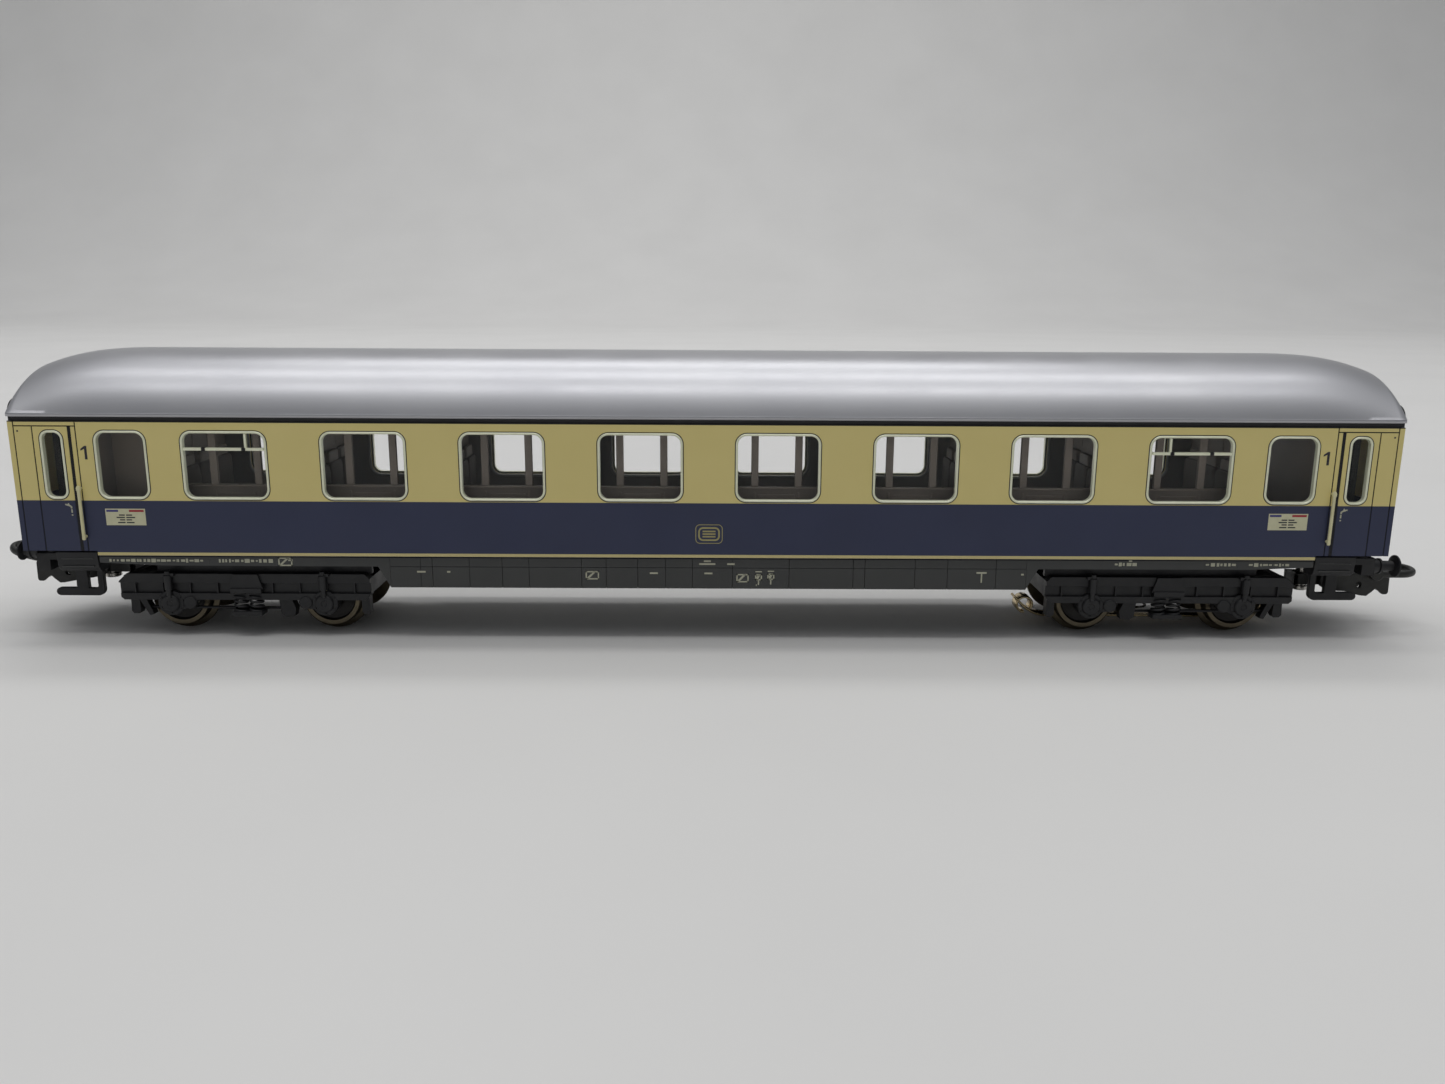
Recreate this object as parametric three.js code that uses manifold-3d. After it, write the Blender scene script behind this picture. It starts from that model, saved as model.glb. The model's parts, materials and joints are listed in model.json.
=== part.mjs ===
// Model passenger coach, H0 gauge, shortened length. Millimetres, +Z up, +X along the coach.
// The origin is under the middle of the coach, on the plane that the wheel flanges rest on.
import * as THREE from "three";
import { mergeVertices } from "three/addons/utils/BufferGeometryUtils.js";
import Module from "manifold-3d";

const wasm = await Module();
wasm.setup();

// ---------- driving dimensions ----------
const GAP = 0.3; // clearance between neighbouring pieces
const BODY = { halfLength: 127, halfWidth: 16.25, wall: 1.2, bottom: 16.2, doorBottom: 17.1, top: 41.2 };
const ROOF = {
  halfLength: 127.4, halfWidth: 16.5, lip: 0.5, bottom: 42, top: 53.6, wall: 1.1,
  endDrop: 3.5, dropStart: 104,
};
const WINDOW = { pitch: 25.25, width: 15.6, bottom: 26.85, top: 39.5, radius: 2, count: 8 };
const END_WINDOW = { x: 107.1, width: 9.4 };
const DOOR = { x: 119.4, windowWidth: 4.2, windowRadius: 1.5, edge: 113.3 };
const GANGWAY = {
  halfWidth: 7.2, top: 42.6, bottom: 17.6, tube: 2.1, corner: 0.8, reach: 131.5, doorHalf: 4.6,
};
const FLOOR = { halfLength: 123.7, halfWidth: 14.5, bottom: 15, top: 16.2 };
const SKIRT = { outer: 15.9, wall: 0.9, top: 15.95, shallow: 14.3, deep: 10.25, deepHalf: 59.5, slope: 2.2 };
const BOGIE = { pivot: 87.2, halfBase: 14.5, outer: -24.1, inner: 23.2, sideIn: 11.6, sideOut: 14.2 };
const WHEEL = { axle: 6.6, tread: 5.4, flange: 6.6, back: 7.2, front: 10, tip: 12.6, segments: 16 };
const BUFFER = { y: 10.2, shankRadius: 1.1 };
const COUPLER = { pin: 119.5, pinRadius: 1, loopAxis: 13, loopZ: 11.9 };
// each end has its own buffers, and its own rest place for the arm (mm) and the loop (degrees)
const ENDS = [
  {
    name: "left", side: -1,
    buffer: { z: 15.7, face: 131.3, r: 1.8 }, arm: { pushed: 3, lift: 0.4, raised: 14 },
  },
  {
    name: "right", side: 1,
    buffer: { z: 13.8, face: 132.6, r: 2.1 }, arm: { pushed: 0, lift: -1.3, raised: 0 },
  },
];
const FLANKS = [{ name: "near", side: -1 }, { name: "far", side: 1 }];

// ---------- materials ----------
const finish = (color, roughness, metalness = 0) =>
  new THREE.MeshStandardMaterial({ color, roughness, metalness });
const PAINT = finish(0x33405f, 0.4);
const SILVER = finish(0xa3a5a8, 0.45, 0.5);
const BLACK = finish(0x1b1b1d, 0.55);
const GREY = finish(0x3a3b3d, 0.5);
const CLEAR = finish(0xc9d2d4, 0.1);
const STEEL = finish(0x6d6a66, 0.35, 0.9);
const TAN = finish(0x5d5146, 0.7);
const RUBBER = finish(0x161617, 0.8);
const CREAM = finish(0xd9d2b0, 0.4);

// ---------- solids ----------
/** A manifold solid from a closed three.js geometry. */
function solid(geometry) {
  const g = geometry.clone();
  g.deleteAttribute("normal");
  g.deleteAttribute("uv");
  const merged = mergeVertices(g, 1e-4);
  return new wasm.Manifold(new wasm.Mesh({
    numProp: 3,
    vertProperties: Float32Array.from(merged.attributes.position.array),
    triVerts: Uint32Array.from(merged.index.array),
  }));
}

/** A three.js geometry from a manifold solid. */
function geometryOf(manifold) {
  const mesh = manifold.getMesh();
  const g = new THREE.BufferGeometry();
  g.setAttribute("position", new THREE.BufferAttribute(Float32Array.from(mesh.vertProperties), 3));
  g.setIndex(Array.from(mesh.triVerts));
  g.computeVertexNormals();
  return g;
}

const join = (...solids) => solids.reduce((a, b) => a.add(b));
const cut = (base, ...tools) => tools.reduce((a, b) => a.subtract(b), base);

/** A box from its lowest to its highest corner. */
function box(x0, x1, y0, y1, z0, z1) {
  const g = new THREE.BoxGeometry(x1 - x0, y1 - y0, z1 - z0);
  return solid(g.translate((x0 + x1) / 2, (y0 + y1) / 2, (z0 + z1) / 2));
}

/** A cylinder of radius r from a to b along an axis, through the point p of the other two axes. */
function rod(axis, r, a, b, p, segments = 16) {
  const g = new THREE.CylinderGeometry(r, r, b - a, segments);
  const m = (a + b) / 2;
  if (axis === "x") return solid(g.rotateZ(-Math.PI / 2).translate(m, p[0], p[1]));
  if (axis === "y") return solid(g.translate(p[0], m, p[1]));
  return solid(g.rotateX(Math.PI / 2).translate(p[0], p[1], m));
}

/** A profile in X and Z, given as [x, z] points, carried along Y from y0 to y1. */
function sidePlate(points, y0, y1) {
  const shape = new THREE.Shape(points.map(([x, z]) => new THREE.Vector2(x, z)));
  const g = new THREE.ExtrudeGeometry(shape, { depth: y1 - y0, bevelEnabled: false });
  return solid(g.rotateX(Math.PI / 2).translate(0, y1, 0));
}

/** A profile in Y and Z, given as [y, z] points, carried along X from x0 to x1. */
function crossBar(points, x0, x1) {
  const shape = new THREE.Shape(points.map(([y, z]) => new THREE.Vector2(y, z)));
  const g = new THREE.ExtrudeGeometry(shape, { depth: x1 - x0, bevelEnabled: false });
  return solid(g.rotateZ(Math.PI / 2).rotateY(Math.PI / 2).translate(x0, 0, 0));
}

/** A rectangle in X and Z with round corners, carried along Y: a window's hole or its pane. */
function roundedPanel(x, width, z0, z1, radius, y0, y1) {
  const [l, r] = [x - width / 2, x + width / 2];
  const s = new THREE.Shape();
  s.moveTo(l + radius, z0);
  s.lineTo(r - radius, z0);
  s.absarc(r - radius, z0 + radius, radius, -Math.PI / 2, 0);
  s.lineTo(r, z1 - radius);
  s.absarc(r - radius, z1 - radius, radius, 0, Math.PI / 2);
  s.lineTo(l + radius, z1);
  s.absarc(l + radius, z1 - radius, radius, Math.PI / 2, Math.PI);
  s.lineTo(l, z0 + radius);
  s.absarc(l + radius, z0 + radius, radius, Math.PI, Math.PI * 1.5);
  const g = new THREE.ExtrudeGeometry(s, { depth: y1 - y0, bevelEnabled: false, curveSegments: 2 });
  return solid(g.rotateX(Math.PI / 2).translate(0, y1, 0));
}

/** A closed skin through rings of points, which all have the same number of points. */
function loft(rings) {
  const count = rings[0].length;
  const last = rings.length - 1;
  const positions = rings.flat().flatMap((p) => [p.x, p.y, p.z]);
  const index = [];
  for (let i = 0; i < last; i++) {
    for (let j = 0; j < count; j++) {
      const [a, b] = [i * count + j, i * count + ((j + 1) % count)];
      index.push(a, b, b + count, a, b + count, a + count);
    }
  }
  for (let j = 1; j < count - 1; j++) {
    index.push(0, j + 1, j);
    index.push(last * count, last * count + j, last * count + j + 1);
  }
  const g = new THREE.BufferGeometry();
  g.setAttribute("position", new THREE.Float32BufferAttribute(positions, 3));
  g.setIndex(index);
  return solid(g);
}

// ---------- the assembly ----------
const coach = new THREE.Group();

/** Adds one named piece to a group. */
function piece(parent, name, manifold, material) {
  const mesh = new THREE.Mesh(geometryOf(manifold), material);
  mesh.name = name;
  parent.add(mesh);
  return mesh;
}

// ---------- windows ----------
const windows = [];
for (let i = 0; i < WINDOW.count; i++) {
  const x = (i - (WINDOW.count - 1) / 2) * WINDOW.pitch;
  windows.push({ x, width: WINDOW.width, radius: WINDOW.radius });
}
for (const { side } of ENDS) {
  windows.push({ x: side * END_WINDOW.x, width: END_WINDOW.width, radius: WINDOW.radius });
  windows.push({ x: side * DOOR.x, width: DOOR.windowWidth, radius: DOOR.windowRadius });
}

/** All window panels of one flank, grown by a margin, between two distances from the coach's middle. */
function windowPanels(margin, y0, y1) {
  return windows.map((w) => roundedPanel(
    w.x, w.width + 2 * margin, WINDOW.bottom - margin, WINDOW.top + margin, w.radius + margin, y0, y1));
}

// ---------- body ----------
function bodyShell() {
  const { halfLength: l, halfWidth: w, wall, bottom, doorBottom, top } = BODY;
  const inside = box(wall - l, l - wall, wall - w, w - wall, bottom - 1, top + 1);
  let shell = cut(box(-l, l, -w, w, bottom, top), inside);
  for (const { side } of ENDS) {
    const [x0, x1] = side < 0 ? [-l - 1, -DOOR.edge] : [DOOR.edge, l + 1];
    shell = cut(shell, box(x0, x1, -w - 1, w + 1, bottom - 1, doorBottom));
  }
  shell = cut(shell, ...windowPanels(0, -w - 1, w + 1));
  const half = GANGWAY.doorHalf;
  return cut(shell, box(-l - 1, l + 1, -half, half, doorBottom + 1.5, top - 2));
}
piece(coach, "body_shell", bodyShell(), PAINT);

/** Height lost by the roof at a distance x from the middle. */
function roofDrop(x) {
  const t = Math.max(0, (Math.abs(x) - ROOF.dropStart) / (ROOF.halfLength - ROOF.dropStart));
  return ROOF.endDrop * t ** 3;
}

/** One section of the roof: an arc over straight lips, drawn inwards by an inset. */
function roofRing(x, inset, bottom) {
  const half = ROOF.halfWidth - inset;
  const spring = ROOF.bottom + ROOF.lip;
  const crown = ROOF.top - inset - roofDrop(x) - spring;
  const radius = (half * half + crown * crown) / (2 * crown);
  const reach = Math.asin(Math.min(1, half / radius));
  const ring = [new THREE.Vector3(x, half, bottom)];
  const steps = 14;
  for (let i = 0; i <= steps; i++) {
    const a = reach * (1 - (2 * i) / steps);
    ring.push(new THREE.Vector3(x, radius * Math.sin(a), spring + crown - radius + radius * Math.cos(a)));
  }
  ring.push(new THREE.Vector3(x, -half, bottom));
  return ring;
}

function roofShell() {
  const outerX = [-127.4, -125.2, -122, -117, -104, 104, 117, 122, 125.2, 127.4];
  const limit = ROOF.halfLength - ROOF.wall;
  const innerX = outerX.filter((x) => Math.abs(x) < limit);
  const outer = loft(outerX.map((x) => roofRing(x, 0, ROOF.bottom)));
  const inner = loft([-limit, ...innerX, limit].map((x) => roofRing(x, ROOF.wall, ROOF.bottom - 1)));
  return cut(outer, inner);
}
piece(coach, "roof", roofShell(), SILVER);

function roofGasket() {
  const [l, w] = [BODY.halfLength - 0.4, BODY.halfWidth - 0.35];
  const [z0, z1] = [BODY.top + 0.05, ROOF.bottom - 0.05];
  return cut(box(-l, l, -w, w, z0, z1), box(1.4 - l, l - 1.4, 1.4 - w, w - 1.4, z0 - 1, z1 + 1));
}
piece(coach, "roof_gasket", roofGasket(), BLACK);

// ---------- glazing: one clear strip per flank, with a raised pane in each window ----------
function glazing(side) {
  const inner = BODY.halfWidth - BODY.wall - GAP;
  const strip = [inner - 0.6, inner];
  const pane = [inner - 0.6, BODY.halfWidth - 0.15];
  const along = ([a, b]) => (side < 0 ? [-b, -a] : [a, b]);
  const x = BODY.halfLength - BODY.wall - 0.8;
  return join(box(-x, x, ...along(strip), 24.6, 40.6), ...windowPanels(-0.1, ...along(pane)));
}
for (const { name, side } of FLANKS) piece(coach, `glazing_${name}`, glazing(side), CLEAR);

// ---------- handrails beside the doors ----------
function handrail(x, side) {
  const y = side * (BODY.halfWidth + 0.75);
  const foot = (z) => {
    const [a, b] = [side * (BODY.halfWidth + 0.03), y].sort((p, q) => p - q);
    return rod("y", 0.3, a, b, [x, z], 8);
  };
  return join(rod("z", 0.42, 19.3, 29.5, [x, y], 10), foot(19.8), foot(29));
}
for (const end of ENDS) {
  for (const flank of FLANKS) {
    piece(coach, `handrail_${end.name}_${flank.name}`, handrail(end.side * 115.1, flank.side), CREAM);
  }
}

// ---------- gangways, end doors, buffer beams, buffers, door steps ----------
/** An upright U of thick rubber tube round the end door, with a tread plate across its feet. */
function gangway() {
  const { halfWidth: w, top, bottom, tube, corner, reach } = GANGWAY;
  const [x0, x1] = [BODY.halfLength + 0.4, reach];
  const arch = (grow, z0) => {
    const s = new THREE.Shape();
    const r = Math.max(corner + grow, 0.4);
    const [x, z] = [w + grow - r, top + grow - r];
    s.moveTo(-w - grow, z0);
    s.lineTo(-w - grow, z);
    s.absarc(-x, z, r, Math.PI, Math.PI / 2, true);
    s.lineTo(x, top + grow);
    s.absarc(x, z, r, Math.PI / 2, 0, true);
    s.lineTo(w + grow, z0);
    return s;
  };
  const along = (shape, a, b) => {
    const g = new THREE.ExtrudeGeometry(shape, { depth: b - a, bevelEnabled: false, curveSegments: 6 });
    return solid(g.rotateZ(Math.PI / 2).rotateY(Math.PI / 2).translate(a, 0, 0));
  };
  const lip = 0.9;
  const full = join(
    along(arch(tube - lip, bottom), x0, x1),
    along(arch(tube, bottom), x0 + lip, x1 - lip),
  );
  const frame = cut(full, along(arch(-tube, bottom - 1), x0 - 1, x1 + 1));
  return join(frame, box(x0, x1 - 0.6, -w, w, bottom, bottom + 1));
}

function endDoor() {
  const x0 = BODY.halfLength - BODY.wall + 0.2;
  const half = GANGWAY.doorHalf - 0.15;
  const [z0, z1] = [BODY.doorBottom + 1.65, BODY.top - 2.15];
  const leaf = box(x0, x0 + 0.7, -half, half, z0, z1);
  return cut(leaf, box(x0 - 1, x0 + 2, -2.2, 2.2, 29, 37));
}

function bufferBeam() {
  const beam = box(124.1, 126.8, -13.2, 13.2, 12.6, 15.9);
  return cut(beam, box(123, 128, -5.6, 5.6, 12, 14.6));
}

/** A flat disc head with a crowned face, a shank and a housing, turned about the X axis. */
function buffer(y, { z, face, r }) {
  const s = BUFFER.shankRadius;
  const profile = [[0, 127.1], [1.5, 127.1], [1.5, 129.2], [s, 129.2], [s, face - 0.8], [r, face - 0.8],
    [r, face - 0.25], [0, face]].map(([radius, x]) => new THREE.Vector2(radius, x));
  const g = new THREE.LatheGeometry(profile, 20);
  return solid(g.rotateZ(-Math.PI / 2).translate(0, y, z));
}

/** The boxed step below a door: a shallow face under the body and a drum below the floor. */
function doorStep() {
  const outline = [[14.8, 16.75], [14.8, 14.7], [11.6, 14.7], [11.6, 13.4], [12.3, 12.8], [14, 12.8],
    [15, 13.3], [15.6, 14.4], [15.75, 15.6], [15.75, 16.75]];
  return crossBar(outline, 113.7, 121.3);
}

for (const { name, side, buffer: kind } of ENDS) {
  const end = new THREE.Group();
  end.rotation.z = side < 0 ? Math.PI : 0;
  coach.add(end);
  piece(end, `gangway_rubber_${name}`, gangway(), RUBBER);
  piece(end, `end_door_${name}`, endDoor(), GREY);
  piece(end, `buffer_beam_${name}`, bufferBeam(), BLACK);
  for (const flank of FLANKS) {
    const turned = flank.side * side;
    piece(end, `buffer_${name}_${flank.name}`, buffer(turned * BUFFER.y, kind), BLACK);
    const step = piece(end, `door_step_${name}_${flank.name}`, doorStep(), BLACK);
    if (turned < 0) step.geometry = geometryOf(doorStep().mirror([0, 1, 0]));
  }
}

// ---------- floor, skirts and what hangs below ----------
function chassisFloor() {
  const { halfLength: l, halfWidth: w, bottom, top } = FLOOR;
  let floor = box(-l, l, -w, w, bottom, top);
  for (const { side } of ENDS) floor = cut(floor, rod("z", 1.6, 0, 20, [side * BOGIE.pivot, 0]));
  return floor;
}
piece(coach, "chassis_floor", chassisFloor(), BLACK);

/** One apron: shallow over the bogies, deep between them, with sloping ends to the deep part. */
function skirt(side) {
  const { outer, wall, top, shallow, deep, deepHalf, slope } = SKIRT;
  const l = DOOR.edge;
  const outline = [[-l, shallow + 0.5], [-deepHalf - slope - 40, shallow], [-deepHalf - slope, shallow],
    [-deepHalf, deep], [deepHalf, deep], [deepHalf + slope, shallow], [deepHalf + slope + 40, shallow],
    [l, shallow + 0.5], [l, top], [-l, top]];
  const [y0, y1] = side < 0 ? [-outer, wall - outer] : [outer - wall, outer];
  return sidePlate(outline, y0, y1);
}
for (const { name, side } of FLANKS) piece(coach, `skirt_${name}`, skirt(side), GREY);

/** Battery, converter and cooler boxes in one moulding between the aprons. */
function underfloorEquipment() {
  const top = FLOOR.bottom - 0.05;
  return join(
    box(-54, 54, -5, 5, 13.4, top),
    box(-52, -26, -13.8, 13.8, 10.8, top - 0.4),
    box(-20, 8, -13.4, 13.4, 11.2, top - 0.4),
    box(14, 34, -13.8, 13.8, 10.8, top - 0.4),
    rod("x", 2.3, 38, 52, [-8, 12.4], 14),
    rod("x", 2.3, 38, 52, [8, 12.4], 14),
    box(44, 46, -9, 9, 12.4, 14.4),
  );
}
piece(coach, "underfloor_equipment", underfloorEquipment(), BLACK);

// ---------- interior ----------
piece(coach, "ballast_plate", box(-62, 62, -9, 9, 16.3, 17.2), STEEL);

const CORRIDOR = { y: -11.2, thick: 0.9, sill: 28.6, top: 40.4, halfLength: 101, post: 1.1, doorHalf: 4.1 };

/** The compartment floor with its cross walls, seats and seat backs. */
function interiorInsert() {
  const [z0, z1] = [17.4, 18.4];
  const wide = 13.6;
  const wallFrom = CORRIDOR.y + CORRIDOR.thick / 2 + 0.1;
  const parts = [box(-120, 120, -wide, wide, z0, z1)];
  for (let i = 0; i <= WINDOW.count; i++) {
    const x = (i - WINDOW.count / 2) * WINDOW.pitch;
    parts.push(box(x - 0.5, x + 0.5, wallFrom, wide, z1 - 0.2, 39.8));
    if (i > 0) parts.push(box(x - 5.6, x - 0.4, wallFrom + 0.8, wide - 0.4, z1 - 0.2, 23.2));
    if (i > 0) parts.push(box(x - 2, x - 0.4, wallFrom + 0.8, wide - 0.4, 23, 31.5));
    if (i < WINDOW.count) parts.push(box(x + 0.4, x + 5.6, wallFrom + 0.8, wide - 0.4, z1 - 0.2, 23.2));
    if (i < WINDOW.count) parts.push(box(x + 0.4, x + 2, wallFrom + 0.8, wide - 0.4, 23, 31.5));
  }
  for (const { side } of ENDS) {
    const x = side * 114;
    parts.push(box(x - 0.5, x + 0.5, -wide, wide, z1 - 0.2, 39.8));
  }
  return join(...parts);
}
piece(coach, "interior_insert", interiorInsert(), TAN);

/** The corridor wall: a low wall with a door frame opposite each wide window. */
function corridorWall() {
  const { y, thick, sill, top, halfLength, post, doorHalf } = CORRIDOR;
  const [y0, y1] = [y - thick / 2, y + thick / 2];
  const parts = [
    box(-halfLength, halfLength, y0, y1, 18.5, sill),
    box(-halfLength, halfLength, y0, y1, top - 0.9, top),
  ];
  for (let i = 0; i < WINDOW.count; i++) {
    const x = (i - (WINDOW.count - 1) / 2) * WINDOW.pitch;
    for (const s of [-doorHalf, doorHalf]) {
      parts.push(box(x + s - post / 2, x + s + post / 2, y0, y1, sill - 0.2, top - 0.2));
    }
  }
  return join(...parts);
}
piece(coach, "corridor_wall", corridorWall(), TAN);

piece(coach, "light_bar", box(-112, 112, -2.2, 2.2, 43.2, 45), CLEAR);

// ---------- bogies, built with the coach's middle on their +X side ----------
/** Side frame with chamfered end, axle boxes, dampers, spring box and brake hangers. */
function bogieSide(sign) {
  const { outer, inner, halfBase, sideIn, sideOut } = BOGIE;
  const span = (a, b) => (sign < 0 ? [-b, -a] : [a, b]);
  const beam = sidePlate([[outer, 7.9], [outer + 0.9, 7.2], [inner - 1, 7.2], [inner, 8.2], [inner, 11.4],
    [inner - 0.9, 12.3], [outer + 1.7, 12.3], [outer, 10.7]], ...span(sideIn, sideOut));
  const parts = [beam];
  for (const x of [-halfBase, halfBase]) {
    parts.push(rod("y", 2.5, ...span(sideIn, sideOut + 0.5), [x, WHEEL.axle], 12));
    parts.push(box(x - 1.4, x + 1.4, ...span(sideOut - 0.2, sideOut + 0.8), 7.4, 12.9));
    parts.push(rod("y", 1.5, ...span(sideIn + 0.4, sideOut + 0.4), [x + (x < 0 ? 3.4 : -3.4), 6.7], 8));
  }
  parts.push(box(-2.5, 2.5, ...span(sideIn + 0.5, sideOut + 0.9), 4.3, 9.1));
  parts.push(box(-20.4, -18.8, ...span(10.7, 12.6), 3.9, 7.5));
  parts.push(box(5.4, 8.4, ...span(10.7, 12.8), 3.5, 7.5));
  parts.push(box(21.1, 22.6, ...span(10.9, 13), 4.1, 7.5));
  parts.push(box(-22.7, -21.5, ...span(8, 9.8), 4, 9));
  parts.push(box(outer + 6.6, inner, ...span(11.2, 12.4), 12, 14.2));
  return join(...parts);
}

function bogieFrame() {
  const { outer, inner, halfBase, sideIn } = BOGIE;
  let frame = join(
    bogieSide(-1),
    bogieSide(1),
    box(outer + 6.8, inner, -11.8, 11.8, 13.5, 14.2),
    box(-5.5, 5.5, -12, 12, 9.3, 14.2),
    box(outer, outer + 1.6, -12, 12, 8.3, 11.4),
    box(inner - 1.5, inner, -12, 12, 8.3, 11.4),
  );
  frame = cut(frame, rod("z", 1.9, 0, 20, [0, 0]));
  for (const x of [-halfBase, halfBase]) {
    for (const s of [-1, 1]) {
      const [a, b] = [s * (sideIn - 1), s * (WHEEL.tip + 0.4)].sort((p, q) => p - q);
      frame = cut(frame, rod("y", 1.3, a, b, [x, WHEEL.axle], 12));
    }
  }
  return frame;
}

/** Axle with pin-point ends and two flanged wheels, turned about the Y axis. */
function wheelset(x) {
  const { axle, tread, flange, back, front, tip, segments } = WHEEL;
  const half = [[0.9, tip - 0.9], [0.9, front + 0.1], [2, front + 0.1], [2, front - 0.7], [4.4, front - 0.7],
    [4.4, front], [tread, front], [tread + 0.1, back + 0.9], [flange, back + 0.35], [flange - 0.3, back],
    [1, back]];
  const profile = [[0, tip], ...half, ...half.map(([r, y]) => [r, -y]).reverse(), [0, -tip]].reverse();
  const g = new THREE.LatheGeometry(profile.map(([r, y]) => new THREE.Vector2(r, y)), segments);
  return solid(g.translate(x, 0, axle));
}

/** A shouldered screw: head under the bolster, shank up through the floor. */
function kingpin() {
  return join(rod("z", 2.7, 8.1, 9, [0, 0], 16), rod("z", 1.3, 8.9, 16.1, [0, 0], 14));
}

/** The sprung contact slider: a long leaf with both ends turned up, on two arms. */
function pickupShoe() {
  const leaf = [];
  const [low, thick, flat, tip, rise] = [1, 0.35, 21, 25.6, 3.6];
  const curve = (u) => low + rise * u * u;
  const steps = 6;
  for (let i = steps; i >= 1; i--) leaf.push([-flat - ((tip - flat) * i) / steps, curve(i / steps)]);
  leaf.push([-flat, low], [flat, low]);
  for (let i = 1; i <= steps; i++) leaf.push([flat + ((tip - flat) * i) / steps, curve(i / steps)]);
  const upper = leaf.map(([x, z]) => [x - Math.sign(x) * 0.15 * (z - low) / rise, z + thick]).reverse();
  const arm = (x) => box(x - 0.4, x + 0.4, -1.3, 1.3, low + 0.1, 8.6);
  return join(sidePlate([...leaf, ...upper], -1.4, 1.4), arm(-4.2), arm(4.2));
}

for (const { name, side } of ENDS) {
  const bogie = new THREE.Group();
  bogie.position.x = side * BOGIE.pivot;
  bogie.rotation.z = side < 0 ? 0 : Math.PI;
  coach.add(bogie);
  piece(bogie, `bogie_frame_${name}`, bogieFrame(), BLACK);
  piece(bogie, `wheelset_${name}_outer`, wheelset(-BOGIE.halfBase), STEEL);
  piece(bogie, `wheelset_${name}_inner`, wheelset(BOGIE.halfBase), STEEL);
  piece(bogie, `kingpin_${name}`, kingpin(), STEEL);
  if (side > 0) {
    piece(bogie, "pickup_shoe", pickupShoe(), STEEL);
    piece(bogie, "pickup_spring", rod("z", 1.5, 2.4, 7.8, [0, 0], 14), STEEL);
  }
}

// ---------- couplers, built outwards along +X from the pin ----------
/** The fixed pocket plate under the floor end, with the guide hoop and its post at one side. */
function couplerPocket() {
  const y = [-6.4, -5.2];
  return join(
    box(-4.5, 4.2, -6.6, 6.6, 12.6, 14.5),
    box(-1.3, -0.1, ...y, 6.2, 12.8),
    box(1.7, 4.1, ...y, 7, 12.8),
    sidePlate([[-1.3, 6.5], [-0.6, 5.8], [7.4, 5.8], [8.2, 6.5], [7.6, 7.4], [-1.3, 7.4]], ...y),
  );
}

/** The pin and its head, which hold the arm's shank at the arm's own height. */
function couplerPin(lift) {
  const neck = rod("z", COUPLER.pinRadius, 8.4 + lift, 12.5, [0, 0], 14);
  return join(neck, rod("z", 1.6, 7.8 + lift, 8.7 + lift, [0, 0], 14));
}

/** The sliding arm: a flat shank with a slot, two pierced hook plates and a drop front plate. */
function couplerArm() {
  const shank = cut(box(-2.3, 11, -2.1, 2.1, 9.2, 11.4), box(-1.3, 5.3, -1.3, 1.3, 8, 12));
  const outline = [[2.6, 9.7], [3.4, 8.7], [5.8, 8.1], [8, 8], [9.3, 7.5], [12.3, 7], [14, 8.6], [15.5, 7.4],
    [16.7, 7.4], [16.5, 11.4], [15.6, 12], [14.2, 13], [11.6, 13], [9.2, 11.6], [2.6, 11.6]];
  const plate = (y0, y1) => cut(
    sidePlate(outline, y0, y1),
    rod("y", 0.55, -5, 5, [4.3, 9.4], 12),
    rod("y", 0.7, -5, 5, [10.4, 9.3], 12),
  );
  const axis = rod("y", 0.55, -4.2, 4.2, [COUPLER.loopAxis, COUPLER.loopZ], 10);
  return join(shank, plate(-2.8, -2), plate(2, 2.8), box(15.9, 16.6, -2.4, 2.4, 7.4, 10.8), axis);
}

/** A flat wire loop with a round nose, level, hinged at the arm's cross pin. */
function couplerLoop() {
  const [back, straight, wide, wire] = [COUPLER.loopAxis - 1.3, 18, 4.6, 1.1];
  const outline = (inset, from, spare) => {
    const s = new THREE.Shape();
    s.moveTo(from, -wide + inset);
    s.lineTo(straight, -wide + inset);
    s.absellipse(straight, 0, 4.6 - inset, wide - inset, -Math.PI / 2, Math.PI / 2);
    s.lineTo(from, wide - inset);
    return new THREE.ExtrudeGeometry(s, { depth: 1.5 + 2 * spare, bevelEnabled: false, curveSegments: 12 })
      .translate(0, 0, COUPLER.loopZ - 0.75 - spare);
  };
  const place = [COUPLER.loopAxis, COUPLER.loopZ];
  const ring = join(
    cut(solid(outline(0, back, 0)), solid(outline(wire, back - 1, 1))),
    rod("y", 1.4, -wide, wire - wide, place, 14),
    rod("y", 1.4, wide - wire, wide, place, 14),
  );
  return cut(ring, rod("y", 0.85, -8, 8, place, 10));
}

for (const { name, side, arm } of ENDS) {
  const coupler = new THREE.Group();
  coupler.position.x = side * COUPLER.pin;
  coupler.rotation.z = side < 0 ? Math.PI : 0;
  coach.add(coupler);
  const pocket = side < 0 ? couplerPocket().mirror([0, 1, 0]) : couplerPocket();
  piece(coupler, `coupler_pocket_${name}`, pocket, BLACK);
  piece(coupler, `coupler_pin_${name}`, couplerPin(arm.lift), STEEL);
  const moving = new THREE.Group();
  moving.position.set(-arm.pushed, 0, arm.lift);
  coupler.add(moving);
  piece(moving, `coupler_arm_${name}`, couplerArm(), GREY);
  const loop = piece(moving, `coupler_loop_${name}`, couplerLoop(), BLACK);
  const axis = new THREE.Vector3(COUPLER.loopAxis, 0, COUPLER.loopZ);
  loop.rotation.y = -THREE.MathUtils.degToRad(arm.raised);
  loop.position.copy(axis).sub(axis.clone().applyEuler(loop.rotation));
}

export default coach;
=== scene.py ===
"""Model passenger coach, H0 gauge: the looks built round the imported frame.

Sizes in the classes are millimetres; `Piece` turns them to metres once, when it makes a mesh.
+X runs along the coach, +Y across it to the far side, +Z up. Wheels stand on z = 0.
"""

import json
import logging
import math
from dataclasses import dataclass, field
from enum import Enum, IntEnum
from typing import Any, Iterable, Sequence

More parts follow.
